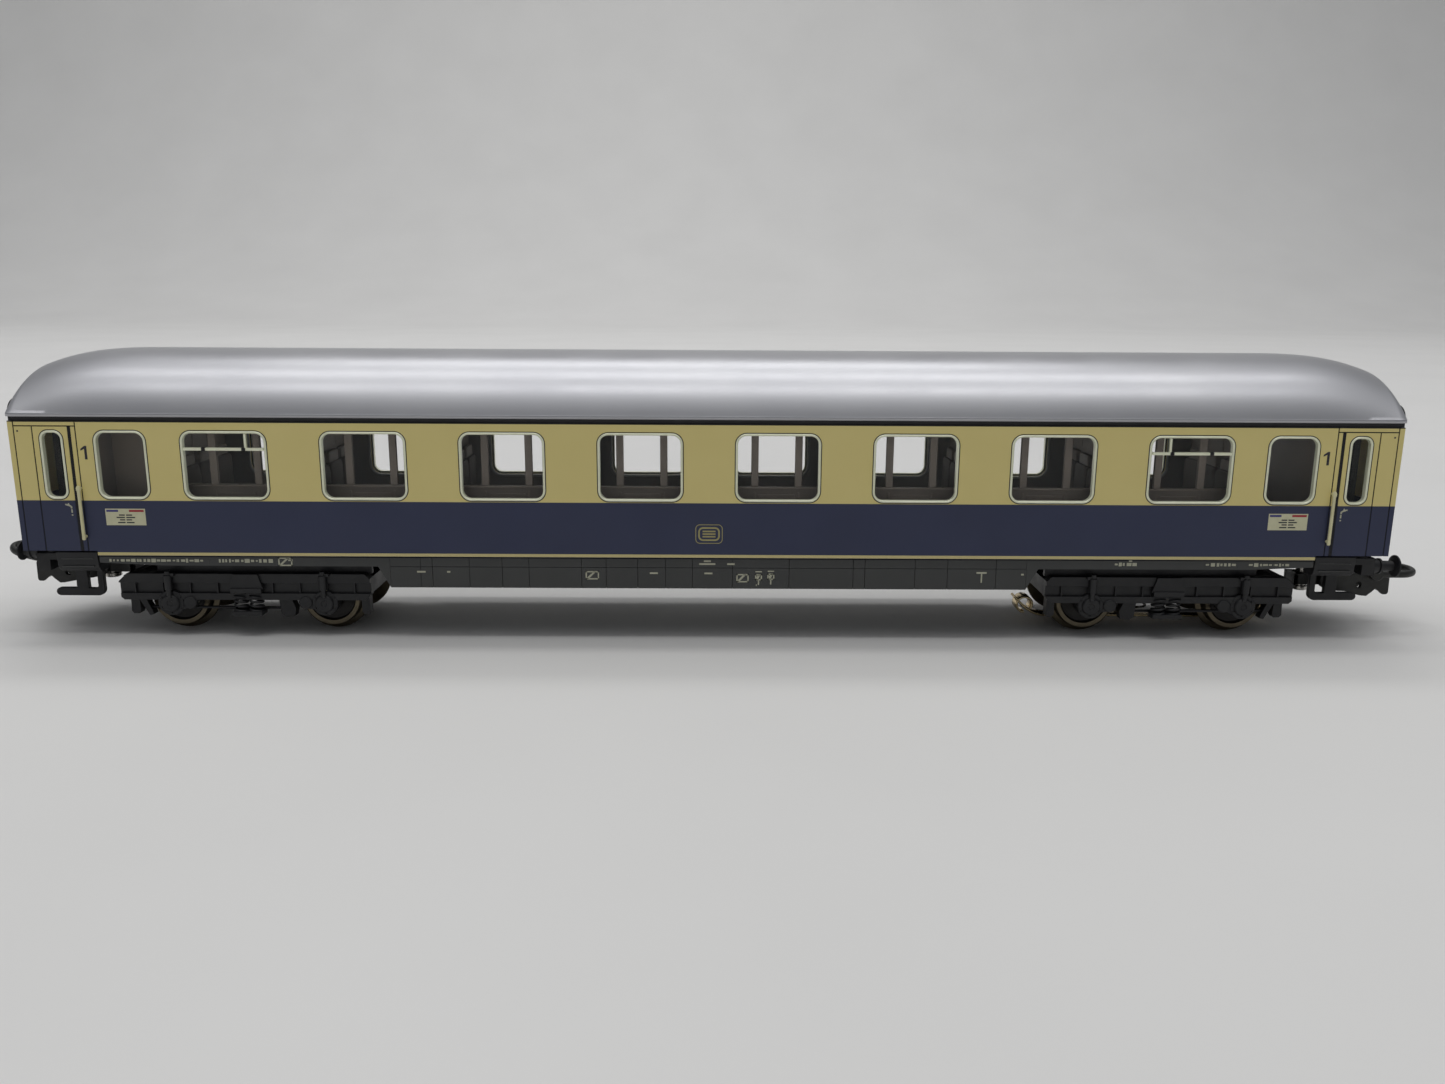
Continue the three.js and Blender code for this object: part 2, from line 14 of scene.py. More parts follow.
import bmesh
import bpy
import numpy as np
from mathutils import Matrix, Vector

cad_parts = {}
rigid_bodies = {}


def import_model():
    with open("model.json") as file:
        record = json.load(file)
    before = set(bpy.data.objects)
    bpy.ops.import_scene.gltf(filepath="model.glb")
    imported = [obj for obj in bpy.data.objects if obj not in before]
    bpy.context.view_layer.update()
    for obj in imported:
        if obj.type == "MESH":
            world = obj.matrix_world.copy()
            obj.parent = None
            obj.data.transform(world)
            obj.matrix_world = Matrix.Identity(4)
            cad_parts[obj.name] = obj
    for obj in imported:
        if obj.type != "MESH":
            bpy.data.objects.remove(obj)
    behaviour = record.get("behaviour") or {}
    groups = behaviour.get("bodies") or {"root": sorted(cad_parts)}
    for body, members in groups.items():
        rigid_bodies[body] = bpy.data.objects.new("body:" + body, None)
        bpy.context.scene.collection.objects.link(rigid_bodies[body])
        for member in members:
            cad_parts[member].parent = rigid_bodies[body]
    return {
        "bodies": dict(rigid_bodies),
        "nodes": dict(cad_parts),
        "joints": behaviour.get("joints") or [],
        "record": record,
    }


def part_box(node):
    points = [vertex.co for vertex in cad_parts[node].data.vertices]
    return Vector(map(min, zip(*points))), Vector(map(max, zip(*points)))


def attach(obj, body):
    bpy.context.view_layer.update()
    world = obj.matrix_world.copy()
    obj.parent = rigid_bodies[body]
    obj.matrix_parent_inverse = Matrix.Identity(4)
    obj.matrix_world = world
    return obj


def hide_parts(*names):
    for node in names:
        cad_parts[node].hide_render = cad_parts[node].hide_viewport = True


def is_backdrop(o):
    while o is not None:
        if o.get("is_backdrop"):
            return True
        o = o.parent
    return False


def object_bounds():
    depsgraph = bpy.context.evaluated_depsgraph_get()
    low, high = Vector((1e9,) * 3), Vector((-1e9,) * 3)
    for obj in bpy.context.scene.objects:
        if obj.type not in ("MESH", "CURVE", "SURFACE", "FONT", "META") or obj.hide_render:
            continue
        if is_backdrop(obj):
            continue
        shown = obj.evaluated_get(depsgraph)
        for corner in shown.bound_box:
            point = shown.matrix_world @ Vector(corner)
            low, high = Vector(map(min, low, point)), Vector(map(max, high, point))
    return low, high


LOG = logging.getLogger("coach")
MM = 0.001
Array = np.ndarray
Faces = list[list[int]]


class Side(Enum):
    """The two flanks of the coach, by the sign of their Y."""

    NEAR = -1
    FAR = 1


class End(Enum):
    """The two ends of the coach, by the sign of their X."""

    LEFT = -1
    RIGHT = 1


# ---------------------------------------------------------------- colours and nodes


def linear(hex_colour: str) -> tuple[float, float, float, float]:
    """Turns an sRGB hex colour to linear RGBA.

    Args:
        hex_colour: six hex digits, with or without a leading hash.

    Returns:
        Linear red, green, blue and an alpha of 1.
    """
    digits = hex_colour.lstrip("#")
    srgb = np.array([int(digits[i:i + 2], 16) / 255 for i in (0, 2, 4)])
    rgb = np.where(srgb <= 0.04045, srgb / 12.92, ((srgb + 0.055) / 1.055) ** 2.4)
    return (*map(float, rgb), 1.0)


def add_node(
    tree: bpy.types.NodeTree,
    kind: str,
    inputs: dict[Any, Any] | None = None,
    **settings: Any,
) -> bpy.types.Node:
    """Adds one node with its settings, socket values and links.

    Args:
        tree: the node tree.
        kind: the node's type name.
        inputs: socket name or number to a value, or to an output socket to link from.
        settings: attributes of the node.

    Returns:
        The new node.
    """
    node = tree.nodes.new(kind)
    for key, value in settings.items():
        setattr(node, key, value)
    for key, value in (inputs or {}).items():
        if isinstance(value, bpy.types.NodeSocket):
            tree.links.new(value, node.inputs[key])
        else:
            node.inputs[key].default_value = value
    return node


def mix_colour(tree: bpy.types.NodeTree, factor: Any, a: Any, b: Any) -> bpy.types.NodeSocket:
    """Mixes two colours or colour sockets and returns the mixed colour socket."""
    node = add_node(tree, "ShaderNodeMix", {0: factor, 6: a, 7: b}, data_type="RGBA")
    return node.outputs[2]


def speckle(tree: bpy.types.NodeTree, size_mm: float, detail: float = 4.0) -> bpy.types.NodeSocket:
    """Noise in object space whose blobs are about size_mm wide; returns its 0 to 1 value."""
    place = add_node(tree, "ShaderNodeTexCoord")
    noise = add_node(
        tree,
        "ShaderNodeTexNoise",
        {"Vector": place.outputs["Object"], "Scale": 1 / (size_mm * MM), "Detail": detail},
    )
    return noise.outputs["Fac"]


def spread(tree: bpy.types.NodeTree, value: Any, low: float, high: float) -> bpy.types.NodeSocket:
    """Maps the middle half of a noise value to the range low to high, clamped."""
    node = add_node(tree, "ShaderNodeMapRange", {0: value, 1: 0.25, 2: 0.75, 3: low, 4: high})
    return node.outputs[0]


@dataclass(frozen=True)
class Surface:
    """A finish: base colour with a second tone, roughness range and fine relief.

    tone_mm and grain_mm are the real widths of the colour mottling and of the surface grain,
    relief_mm is the grain's height and grain_detail how many finer octaves it holds.
    """

    name: str
    colour: str
    tone: str
    roughness: tuple[float, float]
    metallic: float = 0.0
    tone_mm: float = 6.0
    grain_mm: float = 0.25
    relief_mm: float = 0.004
    coat: float = 0.0
    grain_detail: float = 2.0

    def base(self, tree: bpy.types.NodeTree) -> bpy.types.NodeSocket:
        """Returns the base colour socket: two close tones, mottled."""
        amount = spread(tree, speckle(tree, self.tone_mm), 0.0, 1.0)
        return mix_colour(tree, amount, linear(self.colour), linear(self.tone))

    def make(self) -> bpy.types.Material:
        """Builds the node material.

        Returns:
            The finished material.
        """
        material = bpy.data.materials.new(self.name)
        material.use_nodes = True
        tree = material.node_tree
        tree.nodes.clear()
        grain = speckle(tree, self.grain_mm, self.grain_detail)
        bump = add_node(tree, "ShaderNodeBump", {"Height": grain, "Distance": self.relief_mm * MM})
        bump.inputs["Strength"].default_value = 1.0
        shader = add_node(
            tree,
            "ShaderNodeBsdfPrincipled",
            {
                "Base Color": self.base(tree),
                "Metallic": self.metallic,
                "Roughness": spread(tree, speckle(tree, self.tone_mm * 0.6), *self.roughness),
                "Normal": bump.outputs[0],
            },
        )
        self.finish_shader(shader)
        add_node(tree, "ShaderNodeOutputMaterial", {"Surface": shader.outputs[0]})
        return material

    def finish_shader(self, shader: bpy.types.Node) -> None:
        """Sets the sockets that are the same all over the surface."""
        shader.inputs["Coat Weight"].default_value = self.coat
        shader.inputs["Coat Roughness"].default_value = 0.25


@dataclass(frozen=True)
class LiveryPaint(Surface):
    """Sprayed satin paint on a moulded side: cream over blue with a thin gold line at the foot."""

    upper: str = "DFCF89"
    upper_tone: str = "D8C881"
    gold: str = "CDBF86"
    waist_mm: float = 26.6
    line_low_mm: float = 16.28
    line_high_mm: float = 16.85
    line_end_mm: float = 113.3
    top_dark_band_mm: float = 41.02

    def base(self, tree: bpy.types.NodeTree) -> bpy.types.NodeSocket:
        """Returns the livery colour, chosen by height on the side."""
        lower = super().base(tree)
        place = add_node(tree, "ShaderNodeTexCoord").outputs["Object"]
        axes = add_node(tree, "ShaderNodeSeparateXYZ", {0: place})
        height, along = axes.outputs["Z"], axes.outputs["X"]
        dusty = mix_colour(tree, speckle(tree, 9.0), linear(self.upper), linear(self.upper_tone))
        above = self.over(tree, height, self.waist_mm)
        colour = mix_colour(tree, above, lower, dusty)
        # near-black above this height: a thin dark band along the shell's top edge, just under the
        # roof gasket
        colour = mix_colour(tree, self.over(tree, height, self.top_dark_band_mm), colour, linear("141416"))
        distance = add_node(tree, "ShaderNodeMath", {0: along}, operation="ABSOLUTE").outputs[0]
        past = self.over(tree, distance, self.line_end_mm)
        in_line = add_node(
            tree,
            "ShaderNodeMath",
            {
                0: self.over(tree, height, self.line_low_mm),
                1: self.over(tree, height, self.line_high_mm),
            },
            operation="SUBTRACT",
        )
        shown = add_node(tree, "ShaderNodeMath", {0: in_line.outputs[0], 1: past},
                         operation="SUBTRACT")
        shown.use_clamp = True
        return mix_colour(tree, shown.outputs[0], colour, linear(self.gold))

    @staticmethod
    def over(
        tree: bpy.types.NodeTree, value: bpy.types.NodeSocket, limit_mm: float
    ) -> bpy.types.NodeSocket:
        """Returns 1 where value is more than the limit, else 0."""
        test = add_node(tree, "ShaderNodeMath", {0: value, 1: limit_mm * MM},
                        operation="GREATER_THAN")
        return test.outputs[0]


@dataclass(frozen=True)
class ClearMoulding(Surface):
    """Clear polystyrene: thin window moulding, seen through with a little gloss."""

    alpha: float = 0.02

    def finish_shader(self, shader: bpy.types.Node) -> None:
        """Makes the moulding see-through."""
        shader.inputs["Alpha"].default_value = self.alpha
        shader.inputs["IOR"].default_value = 1.59


class Finish(Enum):
    """Every finish on the coach, by what it is made of."""

    # sprayed satin paint: soft wide highlights, slight orange peel
    LIVERY = LiveryPaint("livery_satin_paint", "282F4E", "242B48", (0.36, 0.46),
                         tone_mm=14, grain_mm=0.5, relief_mm=0.002)
    # silver paint: metal flake in lacquer, so a broad highlight over fine orange peel, here drawn
    # at 0.6 mm so that it shows
    SILVER = Surface("silver_roof_paint", "B4B4B7", "ACACB0", (0.29, 0.35),
                     metallic=0.6, tone_mm=18, grain_mm=0.6, relief_mm=0.005)
    # black polystyrene, moulded satin: dull sheen on its edges
    BLACK = Surface("moulded_black_polystyrene", "1C1C1E", "171719", (0.45, 0.6),
                    tone_mm=5, grain_mm=0.4, relief_mm=0.006)
    # black acetal, moulded: a little oilier and darker than the body moulding
    BOGIE = Surface("bogie_acetal", "19191B", "141416", (0.42, 0.56),
                    tone_mm=3, grain_mm=0.35, relief_mm=0.006)
    # dark grey satin paint over the apron moulding
    SKIRT = Surface("skirt_grey_paint", "3D3E3D", "383938", (0.42, 0.52),
                    tone_mm=9, grain_mm=0.35, relief_mm=0.004)
    # painted shade: near-black standing in for the shadow at the bottom of joints, gaps, slots and
    # recesses; it gives back almost no light, and the vent catches take it too
    SEAM = Surface("shadowed_seam", "17161A", "121216", (0.7, 0.8))
    # soft black rubber: matt, with a dusty bloom
    RUBBER = Surface("gangway_rubber", "1D1D1F", "262628", (0.65, 0.8),
                     tone_mm=2, grain_mm=0.15, relief_mm=0.01)
    # hot-foil window frame: pale, bright on its rounded top
    FRAME = Surface("window_frame_foil", "F2F3DA", "E8EACD", (0.28, 0.38),
                    metallic=0.2, tone_mm=3, grain_mm=0.3, relief_mm=0.002)
    # cream enamel on wire: small sharp highlights
    HANDRAIL = Surface("cream_rail_enamel", "E2DDB2", "D6D0A2", (0.35, 0.45),
                       tone_mm=2, grain_mm=0.2, relief_mm=0.002)
    # clear polystyrene moulding: seen through, a faint gloss
    GLAZING = ClearMoulding("clear_polystyrene", "DDE2E2", "D6DCDC", (0.04, 0.08),
                            tone_mm=20, grain_mm=3, relief_mm=0.001)
    # grey-brown polystyrene: plain moulded satin
    INTERIOR = Surface("interior_polystyrene", "867B71", "7C7168", (0.5, 0.65),
                       tone_mm=6, grain_mm=0.5, relief_mm=0.005)
    # the same moulding with paler panels
    PARTITION = Surface("partition_polystyrene", "8B8075", "82776C", (0.5, 0.65),
                        tone_mm=6, grain_mm=0.4, relief_mm=0.005)
    # dark brown polystyrene with a moulded cloth texture
    SEAT = Surface("seat_polystyrene", "5A4D45", "51453D", (0.6, 0.75),
                   tone_mm=2, grain_mm=0.3, relief_mm=0.01)
    # browned nickel silver, turned: a warm metal ring
    TYRE = Surface("browned_nickel_silver_tyre", "6A6252", "5A5346", (0.3, 0.42),
                   metallic=1, tone_mm=1.2, grain_mm=0.1, relief_mm=0.002)
    # chemically blackened wheel disc: dark, half metallic
    DISC = Surface("blackened_wheel_disc", "2C2A28", "242221", (0.4, 0.5),
                   metallic=0.6, tone_mm=1.5, grain_mm=0.15, relief_mm=0.004)
    # bright spring steel: clear grey highlights
    STEEL = Surface("bright_spring_steel", "B9B6B0", "A19E98", (0.2, 0.32),
                    metallic=1, tone_mm=2, grain_mm=0.2, relief_mm=0.002)
    # blackened metal: dark with soft metallic edges
    COUPLER = Surface("coupler_blackened_metal", "333331", "2A2A28", (0.36, 0.5),
                      metallic=0.4, tone_mm=1.5, grain_mm=0.15, relief_mm=0.005)
    # grey polystyrene lining inside the walls: dull
    LINING = Surface("wall_lining_polystyrene", "91887F", "877E76", (0.5, 0.65),
                     tone_mm=9, grain_mm=0.5, relief_mm=0.004)
    # painted highlight: pale rims on the inside of the windows, for the light that the edges of the
    # clear window plugs catch
    RIM = Surface("window_rim_polystyrene", "A9A8A6", "A09F9D", (0.4, 0.5),
                  tone_mm=4, grain_mm=0.4, relief_mm=0.003)
    # bright bronze spring leaf: warm, nearly mirror-like
    BRONZE = Surface("bronze_contact_leaf", "DCC9A2", "CDB98F", (0.2, 0.3),
                     metallic=1, tone_mm=2, grain_mm=0.4, relief_mm=0.002)
    # pad-printed inks: flat, thinner than the paint around them
    INK_PALE = Surface("printed_pale_ink", "B9B8A2", "AEAD98", (0.5, 0.6),
                       tone_mm=1, grain_mm=0.1, relief_mm=0.001)
    INK_GOLD = Surface("printed_gold_ink", "A9A06C", "9E9562", (0.45, 0.55),
                       metallic=0.1, tone_mm=1, grain_mm=0.1, relief_mm=0.001)
    INK_DARK = Surface("printed_dark_ink", "2B2833", "26232C", (0.5, 0.6),
                       tone_mm=1, grain_mm=0.1, relief_mm=0.001)
    INK_PLATE = Surface("printed_plate_ink", "D2CFAE", "C9C6A4", (0.5, 0.6),
                        tone_mm=1, grain_mm=0.1, relief_mm=0.001)
    INK_BLUE = Surface("printed_blue_ink", "46437E", "3F3C74", (0.5, 0.6),
                       tone_mm=1, grain_mm=0.1, relief_mm=0.001)
    INK_RED = Surface("printed_red_ink", "A8323A", "9C2C34", (0.5, 0.6),
                      tone_mm=1, grain_mm=0.1, relief_mm=0.001)
    # red polystyrene lens: glossy
    LAMP = Surface("tail_lamp_lens", "8E1C1C", "7A1616", (0.15, 0.22),
                   tone_mm=1, grain_mm=0.4, relief_mm=0.001, coat=0.6)
    # pale polystyrene light bar: dull and even
    CEILING = Surface("ceiling_polystyrene", "6E6A63", "66625B", (0.5, 0.6),
                      tone_mm=8, grain_mm=0.4, relief_mm=0.004)

    def material(self) -> bpy.types.Material:
        """Returns this finish's material, made once."""
        return bpy.data.materials.get(self.value.name) or self.value.make()


# ---------------------------------------------------------------- surfaces


def grid_quads(rows: int, cols: int, wrap: bool = False) -> Faces:
    """Quads of a grid of points stored row by row.

    Args:
        rows: points down the grid.
        cols: points across it.
        wrap: joins the last column to the first.

    Returns:
        Lists of four point numbers.
    """
    i, j = np.meshgrid(np.arange(rows - 1), np.arange(cols if wrap else cols - 1), indexing="ij")
    k = (j + 1) % cols
    quads = np.stack([i * cols + j, i * cols + k, (i + 1) * cols + k, (i + 1) * cols + j], -1)
    return quads.reshape(-1, 4).tolist()


def torus_quads(rows: int, cols: int) -> Faces:
    """Quads of closed rings of points, with the last ring joined to the first.

    Args:
        rows: how many rings.
        cols: points round each.

    Returns:
        Lists of four point numbers.
    """
    last = (rows - 1) * cols
    joint = [[last + i, last + (i + 1) % cols, (i + 1) % cols, i] for i in range(cols)]
    return grid_quads(rows, cols, wrap=True) + joint


def rounded_rectangle(width: float, height: float, radius: float, steps: int = 8) -> Array:
    """Points of a rectangle with round corners about the origin, counter-clockwise.

    Each corner is a quarter circle of the radius about a point that far in from both sides.
    """
    angles = (np.arange(4)[:, None] * 90 + np.linspace(0, 90, steps + 1)[None]) * math.pi / 180
    sx = np.array([1, -1, -1, 1])[:, None] * (width / 2 - radius)
    sy = np.array([1, 1, -1, -1])[:, None] * (height / 2 - radius)
    return np.stack([sx + radius * np.cos(angles), sy + radius * np.sin(angles)], -1).reshape(-1, 2)


def ray_to_rectangle(directions: Array, centre: Array, low: Array, high: Array) -> Array:
    """Where rays from a centre leave a rectangle; the ray nearest a corner goes to the corner."""
    room = np.where(directions > 0, high - centre, centre - low)
    reach = np.min(room / np.maximum(np.abs(directions), 1e-9), axis=1)
    points = centre + directions * reach[:, None]
    angle = np.arctan2(directions[:, 1], directions[:, 0])
    for corner in ((low[0], low[1]), (high[0], low[1]), (high[0], high[1]), (low[0], high[1])):
        away = np.array(corner) - centre
        turn = np.angle(np.exp(1j * (angle - math.atan2(away[1], away[0]))))
        points[np.argmin(np.abs(turn))] = corner
    return points


def smooth_steps(low: float, high: float, count: int) -> Array:
    """Numbers from low to high that crowd towards both ends, by a cosine."""
    return low + (high - low) * (1 - np.cos(np.linspace(0, math.pi, count))) / 2


@dataclass
class Piece:
    """Collects surfaces in millimetres and makes one mesh object of them at the origin."""

    name: str
    body: str
    finishes: Sequence[Finish]
    points: list[Array] = field(default_factory=list)
    faces: Faces = field(default_factory=list)
    slots: list[int] = field(default_factory=list)
    count: int = 0

    def add(self, points: Array, faces: Iterable[Sequence[int]], slot: int = 0) -> "Piece":
        """Adds points and faces.

        Args:
            points: N by 3 millimetres.
            faces: point numbers within these points.
            slot: which of the piece's finishes the faces take.

        Returns:
            This piece.
        """
        new = [[self.count + int(i) for i in face] for face in faces]
        self.points.append(np.asarray(points, float).reshape(-1, 3))
        self.faces += new
        self.slots += [slot] * len(new)
        self.count += len(self.points[-1])
        return self

    def block(self, low: Sequence[float], high: Sequence[float], slot: int = 0) -> "Piece":
        """Adds a box from its lowest to its highest corner."""
        corners = np.array([[x, y, z] for x in (0, 1) for y in (0, 1) for z in (0, 1)], float)
        lo, hi = np.minimum(low, high), np.maximum(low, high)
        faces = [[0, 1, 3, 2], [4, 6, 7, 5], [0, 4, 5, 1], [2, 3, 7, 6], [0, 2, 6, 4], [1, 5, 7, 3]]
        return self.add(lo + corners * (hi - lo), faces, slot)

    def bar(self, outline: Sequence[Sequence[float]], x0: float, x1: float,
            slot: int = 0) -> "Piece":
        """Adds an outline in Y and Z carried along X from x0 to x1."""
        flat = np.asarray(outline, float)
        n = len(flat)
        ring = [np.stack([np.full(n, x), flat[:, 0], flat[:, 1]], 1) for x in (x0, x1)]
        caps = [list(range(n)), list(range(n, 2 * n))]
        return self.add(np.vstack(ring), grid_quads(2, n, wrap=True) + caps, slot)

    def plate(self, outline: Sequence[Sequence[float]], y0: float, y1: float,
              slot: int = 0) -> "Piece":
        """Adds an outline in X and Z carried along Y from y0 to y1."""
        flat = np.asarray(outline, float)
        n = len(flat)
        ring = [np.stack([flat[:, 0], np.full(n, y), flat[:, 1]], 1) for y in (y0, y1)]
        caps = [list(range(n)), list(range(2 * n - 1, n - 1, -1))]
        return self.add(np.vstack(ring), grid_quads(2, n, wrap=True) + caps, slot)

    def lathe(
        self, profile: Sequence[Sequence[float]], axis: str, centre: Sequence[float],
        segments: int = 32, slots: Sequence[int] | int = 0,
    ) -> "Piece":
        """Adds a profile of (distance along the axis, radius) turned about an axis.

        A point is centre + along * axis + radius * (cos t, sin t) in the other two directions.

        Args:
            profile: pairs; the first and last radius may be 0.
            axis: "x", "y" or "z".
            centre: where distance 0 lies.
            segments: points round.
            slots: one finish slot, or one for each band of the profile.

        Returns:
            This piece.
        """
        shape = np.asarray(profile, float)
        t = np.linspace(0, 2 * math.pi, segments, endpoint=False)
        along, radius = shape[:, :1], shape[:, 1:]
        rim = [np.full((len(shape), segments), along), radius * np.cos(t), radius * np.sin(t)]
        order = {"x": (0, 1, 2), "y": (2, 0, 1), "z": (1, 2, 0)}[axis]
        points = np.stack([rim[k] for k in order], -1).reshape(-1, 3) + np.asarray(centre, float)
        quads = grid_quads(len(shape), segments, wrap=True)
        bands = [slots] * (len(shape) - 1) if isinstance(slots, int) else list(slots)
        start = self.count
        for band, slot in enumerate(bands):
            part = quads[band * segments:(band + 1) * segments]
            self.faces += [[start + i for i in q] for q in part]
            self.slots += [slot] * segments
        self.points.append(points)
        self.count += len(points)
        for row in (0, len(shape) - 1):
            if shape[row, 1] > 0:
                self.faces.append([start + row * segments + i for i in range(segments)])
                self.slots.append(bands[0 if row == 0 else -1])
        return self

    def rod(self, a: Sequence[float], b: Sequence[float], radius: float, segments: int = 16,
            slot: int = 0) -> "Piece":
        """Adds a round rod between two points, with flat ends."""
        path = np.array([a, b], float)
        angles = np.linspace(0, 2 * math.pi, segments, endpoint=False)
        section = radius * np.stack([np.cos(angles), np.sin(angles)], 1)
        return self.sweep(section, path, slot=slot)

    def sweep(self, section: Array, path: Array, up: Sequence[float] = (0, 0, 1),
              closed: bool = False, slot: int = 0) -> "Piece":
        """Adds a closed section carried along a path.

        A point is path + u * side + v * up', where side is the cross product of the direction
        and up, and up' completes the frame. u and v are the section's two numbers.

        Args:
            section: N by 2.
            path: M by 3.
            up: a direction that the path never runs along.
            closed: joins the path's end to its start.
            slot: finish slot.

        Returns:
            This piece.
        """
        way = np.roll(path, -1, 0) - np.roll(path, 1, 0) if closed else np.gradient(path, axis=0)
        way /= np.linalg.norm(way, axis=1, keepdims=True)
        lift = np.asarray(up, float)
        if abs(float(way[0] @ lift)) > 0.95:
            lift = np.array([0.0, 1.0, 0.0])
        side = np.cross(way, lift)
        side /= np.linalg.norm(side, axis=1, keepdims=True)
        rise = np.cross(side, way)
        across, upwards = section[None, :, :1], section[None, :, 1:]
        points = path[:, None] + across * side[:, None] + upwards * rise[:, None]
        n, m = len(section), len(path)
        if closed:
            points = np.concatenate([points, points[:1]])
            faces = [[i % (n * m) for i in q] for q in grid_quads(m + 1, n, wrap=True)]
            return self.add(points[:m], faces, slot)
        caps = [list(range(n)), list(range((m - 1) * n, m * n))]
        return self.add(points, grid_quads(m, n, wrap=True) + caps, slot)

    def mirrored(self, axis: int) -> "Piece":
        """Adds a copy of all that it holds, mirrored across the plane where the axis is 0."""
        points, faces, slots = np.vstack(self.points), list(self.faces), list(self.slots)
        flip = np.ones(3)
        flip[axis] = -1
        start = self.count
        self.points.append(points * flip)
        self.faces += [[start + i for i in reversed(face)] for face in faces]
        self.slots += slots
        self.count += len(points)
        return self

    def turned(self, place: "Place") -> "Piece":
        """Moves everything from a sub-assembly's own frame to the coach's."""
        self.points = [place.to_coach(np.vstack(self.points))]
        return self

    def build(
        self, bevel: float = 0.0, replaces: Sequence[str] = (), slot: str | None = None
    ) -> bpy.types.Object:
        """Makes the object.

        Args:
            bevel: width of the rounded edges, in millimetres; 0 leaves them sharp.
            replaces: CAD nodes that this piece stands for.
            slot: the record's material slot, for a piece that replaces none; not used.

        Returns:
            The object, riding on its body.
        """
        mesh = bpy.data.meshes.new(self.name)
        mesh.from_pydata((np.vstack(self.points) * MM).tolist(), [], self.faces)
        for finish in self.finishes:
            mesh.materials.append(finish.material())
        mesh.polygons.foreach_set("material_index", np.array(self.slots, np.int32))
        tidy_normals(mesh)
        obj = bpy.data.objects.new(self.name, mesh)
        bpy.context.scene.collection.objects.link(obj)
        if bevel:
            edge = obj.modifiers.new("soft_edges", "BEVEL")
            edge.width = bevel * MM
            edge.segments = 2
            edge.limit_method = "ANGLE"
            edge.angle_limit = math.radians(32)
            edge.use_clamp_overlap = True
        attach(obj, self.body)
        if replaces:
            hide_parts(*replaces)
        LOG.info("%s: %d points on %s", self.name, self.count, self.body)
        return obj


def tidy_normals(mesh: bpy.types.Mesh) -> None:
    """Merges doubled points, turns all faces outwards and shades round parts smooth."""
    work = bmesh.new()
    work.from_mesh(mesh)
    bmesh.ops.remove_doubles(work, verts=work.verts, dist=2e-7)
    bmesh.ops.recalc_face_normals(work, faces=work.faces)
    work.to_mesh(mesh)
    work.free()
    mesh.shade_smooth()
    mesh.set_sharp_from_angle(angle=math.radians(34))


@dataclass(frozen=True)
class Place:
    """Where a sub-assembly stands: a point on the centre line, and +1, or -1 when it faces back."""

    x: float
    facing: int = 1
    y: float = 0.0
    z: float = 0.0

    def to_coach(self, points: Array) -> Array:
        """Turns points by 0 or 180 degrees about Z and moves them to this place."""
        turned = points * np.array([self.facing, self.facing, 1.0])
        return turned + np.array([self.x, self.y, self.z])


def node_box(node: str) -> tuple[Array, Array]:
    """Returns a CAD node's lowest and highest corner in millimetres."""
    low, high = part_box(node)
    return np.array(low) / MM, np.array(high) / MM


# ---------------------------------------------------------------- side panels


@dataclass(frozen=True)
class Opening:
    """A window's outer edge on the side: centre, width, foot, head and corner radius."""

    x: float
    width: float
    foot: float
    head: float
    radius: float
    vented: int = 0

    @property
    def centre(self) -> Array:
        """Middle of the opening in X and Z."""
        return np.array([self.x, (self.foot + self.head) / 2])

    def ring(self, grow: float, steps: int = 8) -> Array:
        """The opening's outline in X and Z, grown outwards by some millimetres."""
        shape = rounded_rectangle(
            self.width + 2 * grow, self.head - self.foot + 2 * grow, self.radius + grow, steps)
        return shape + self.centre


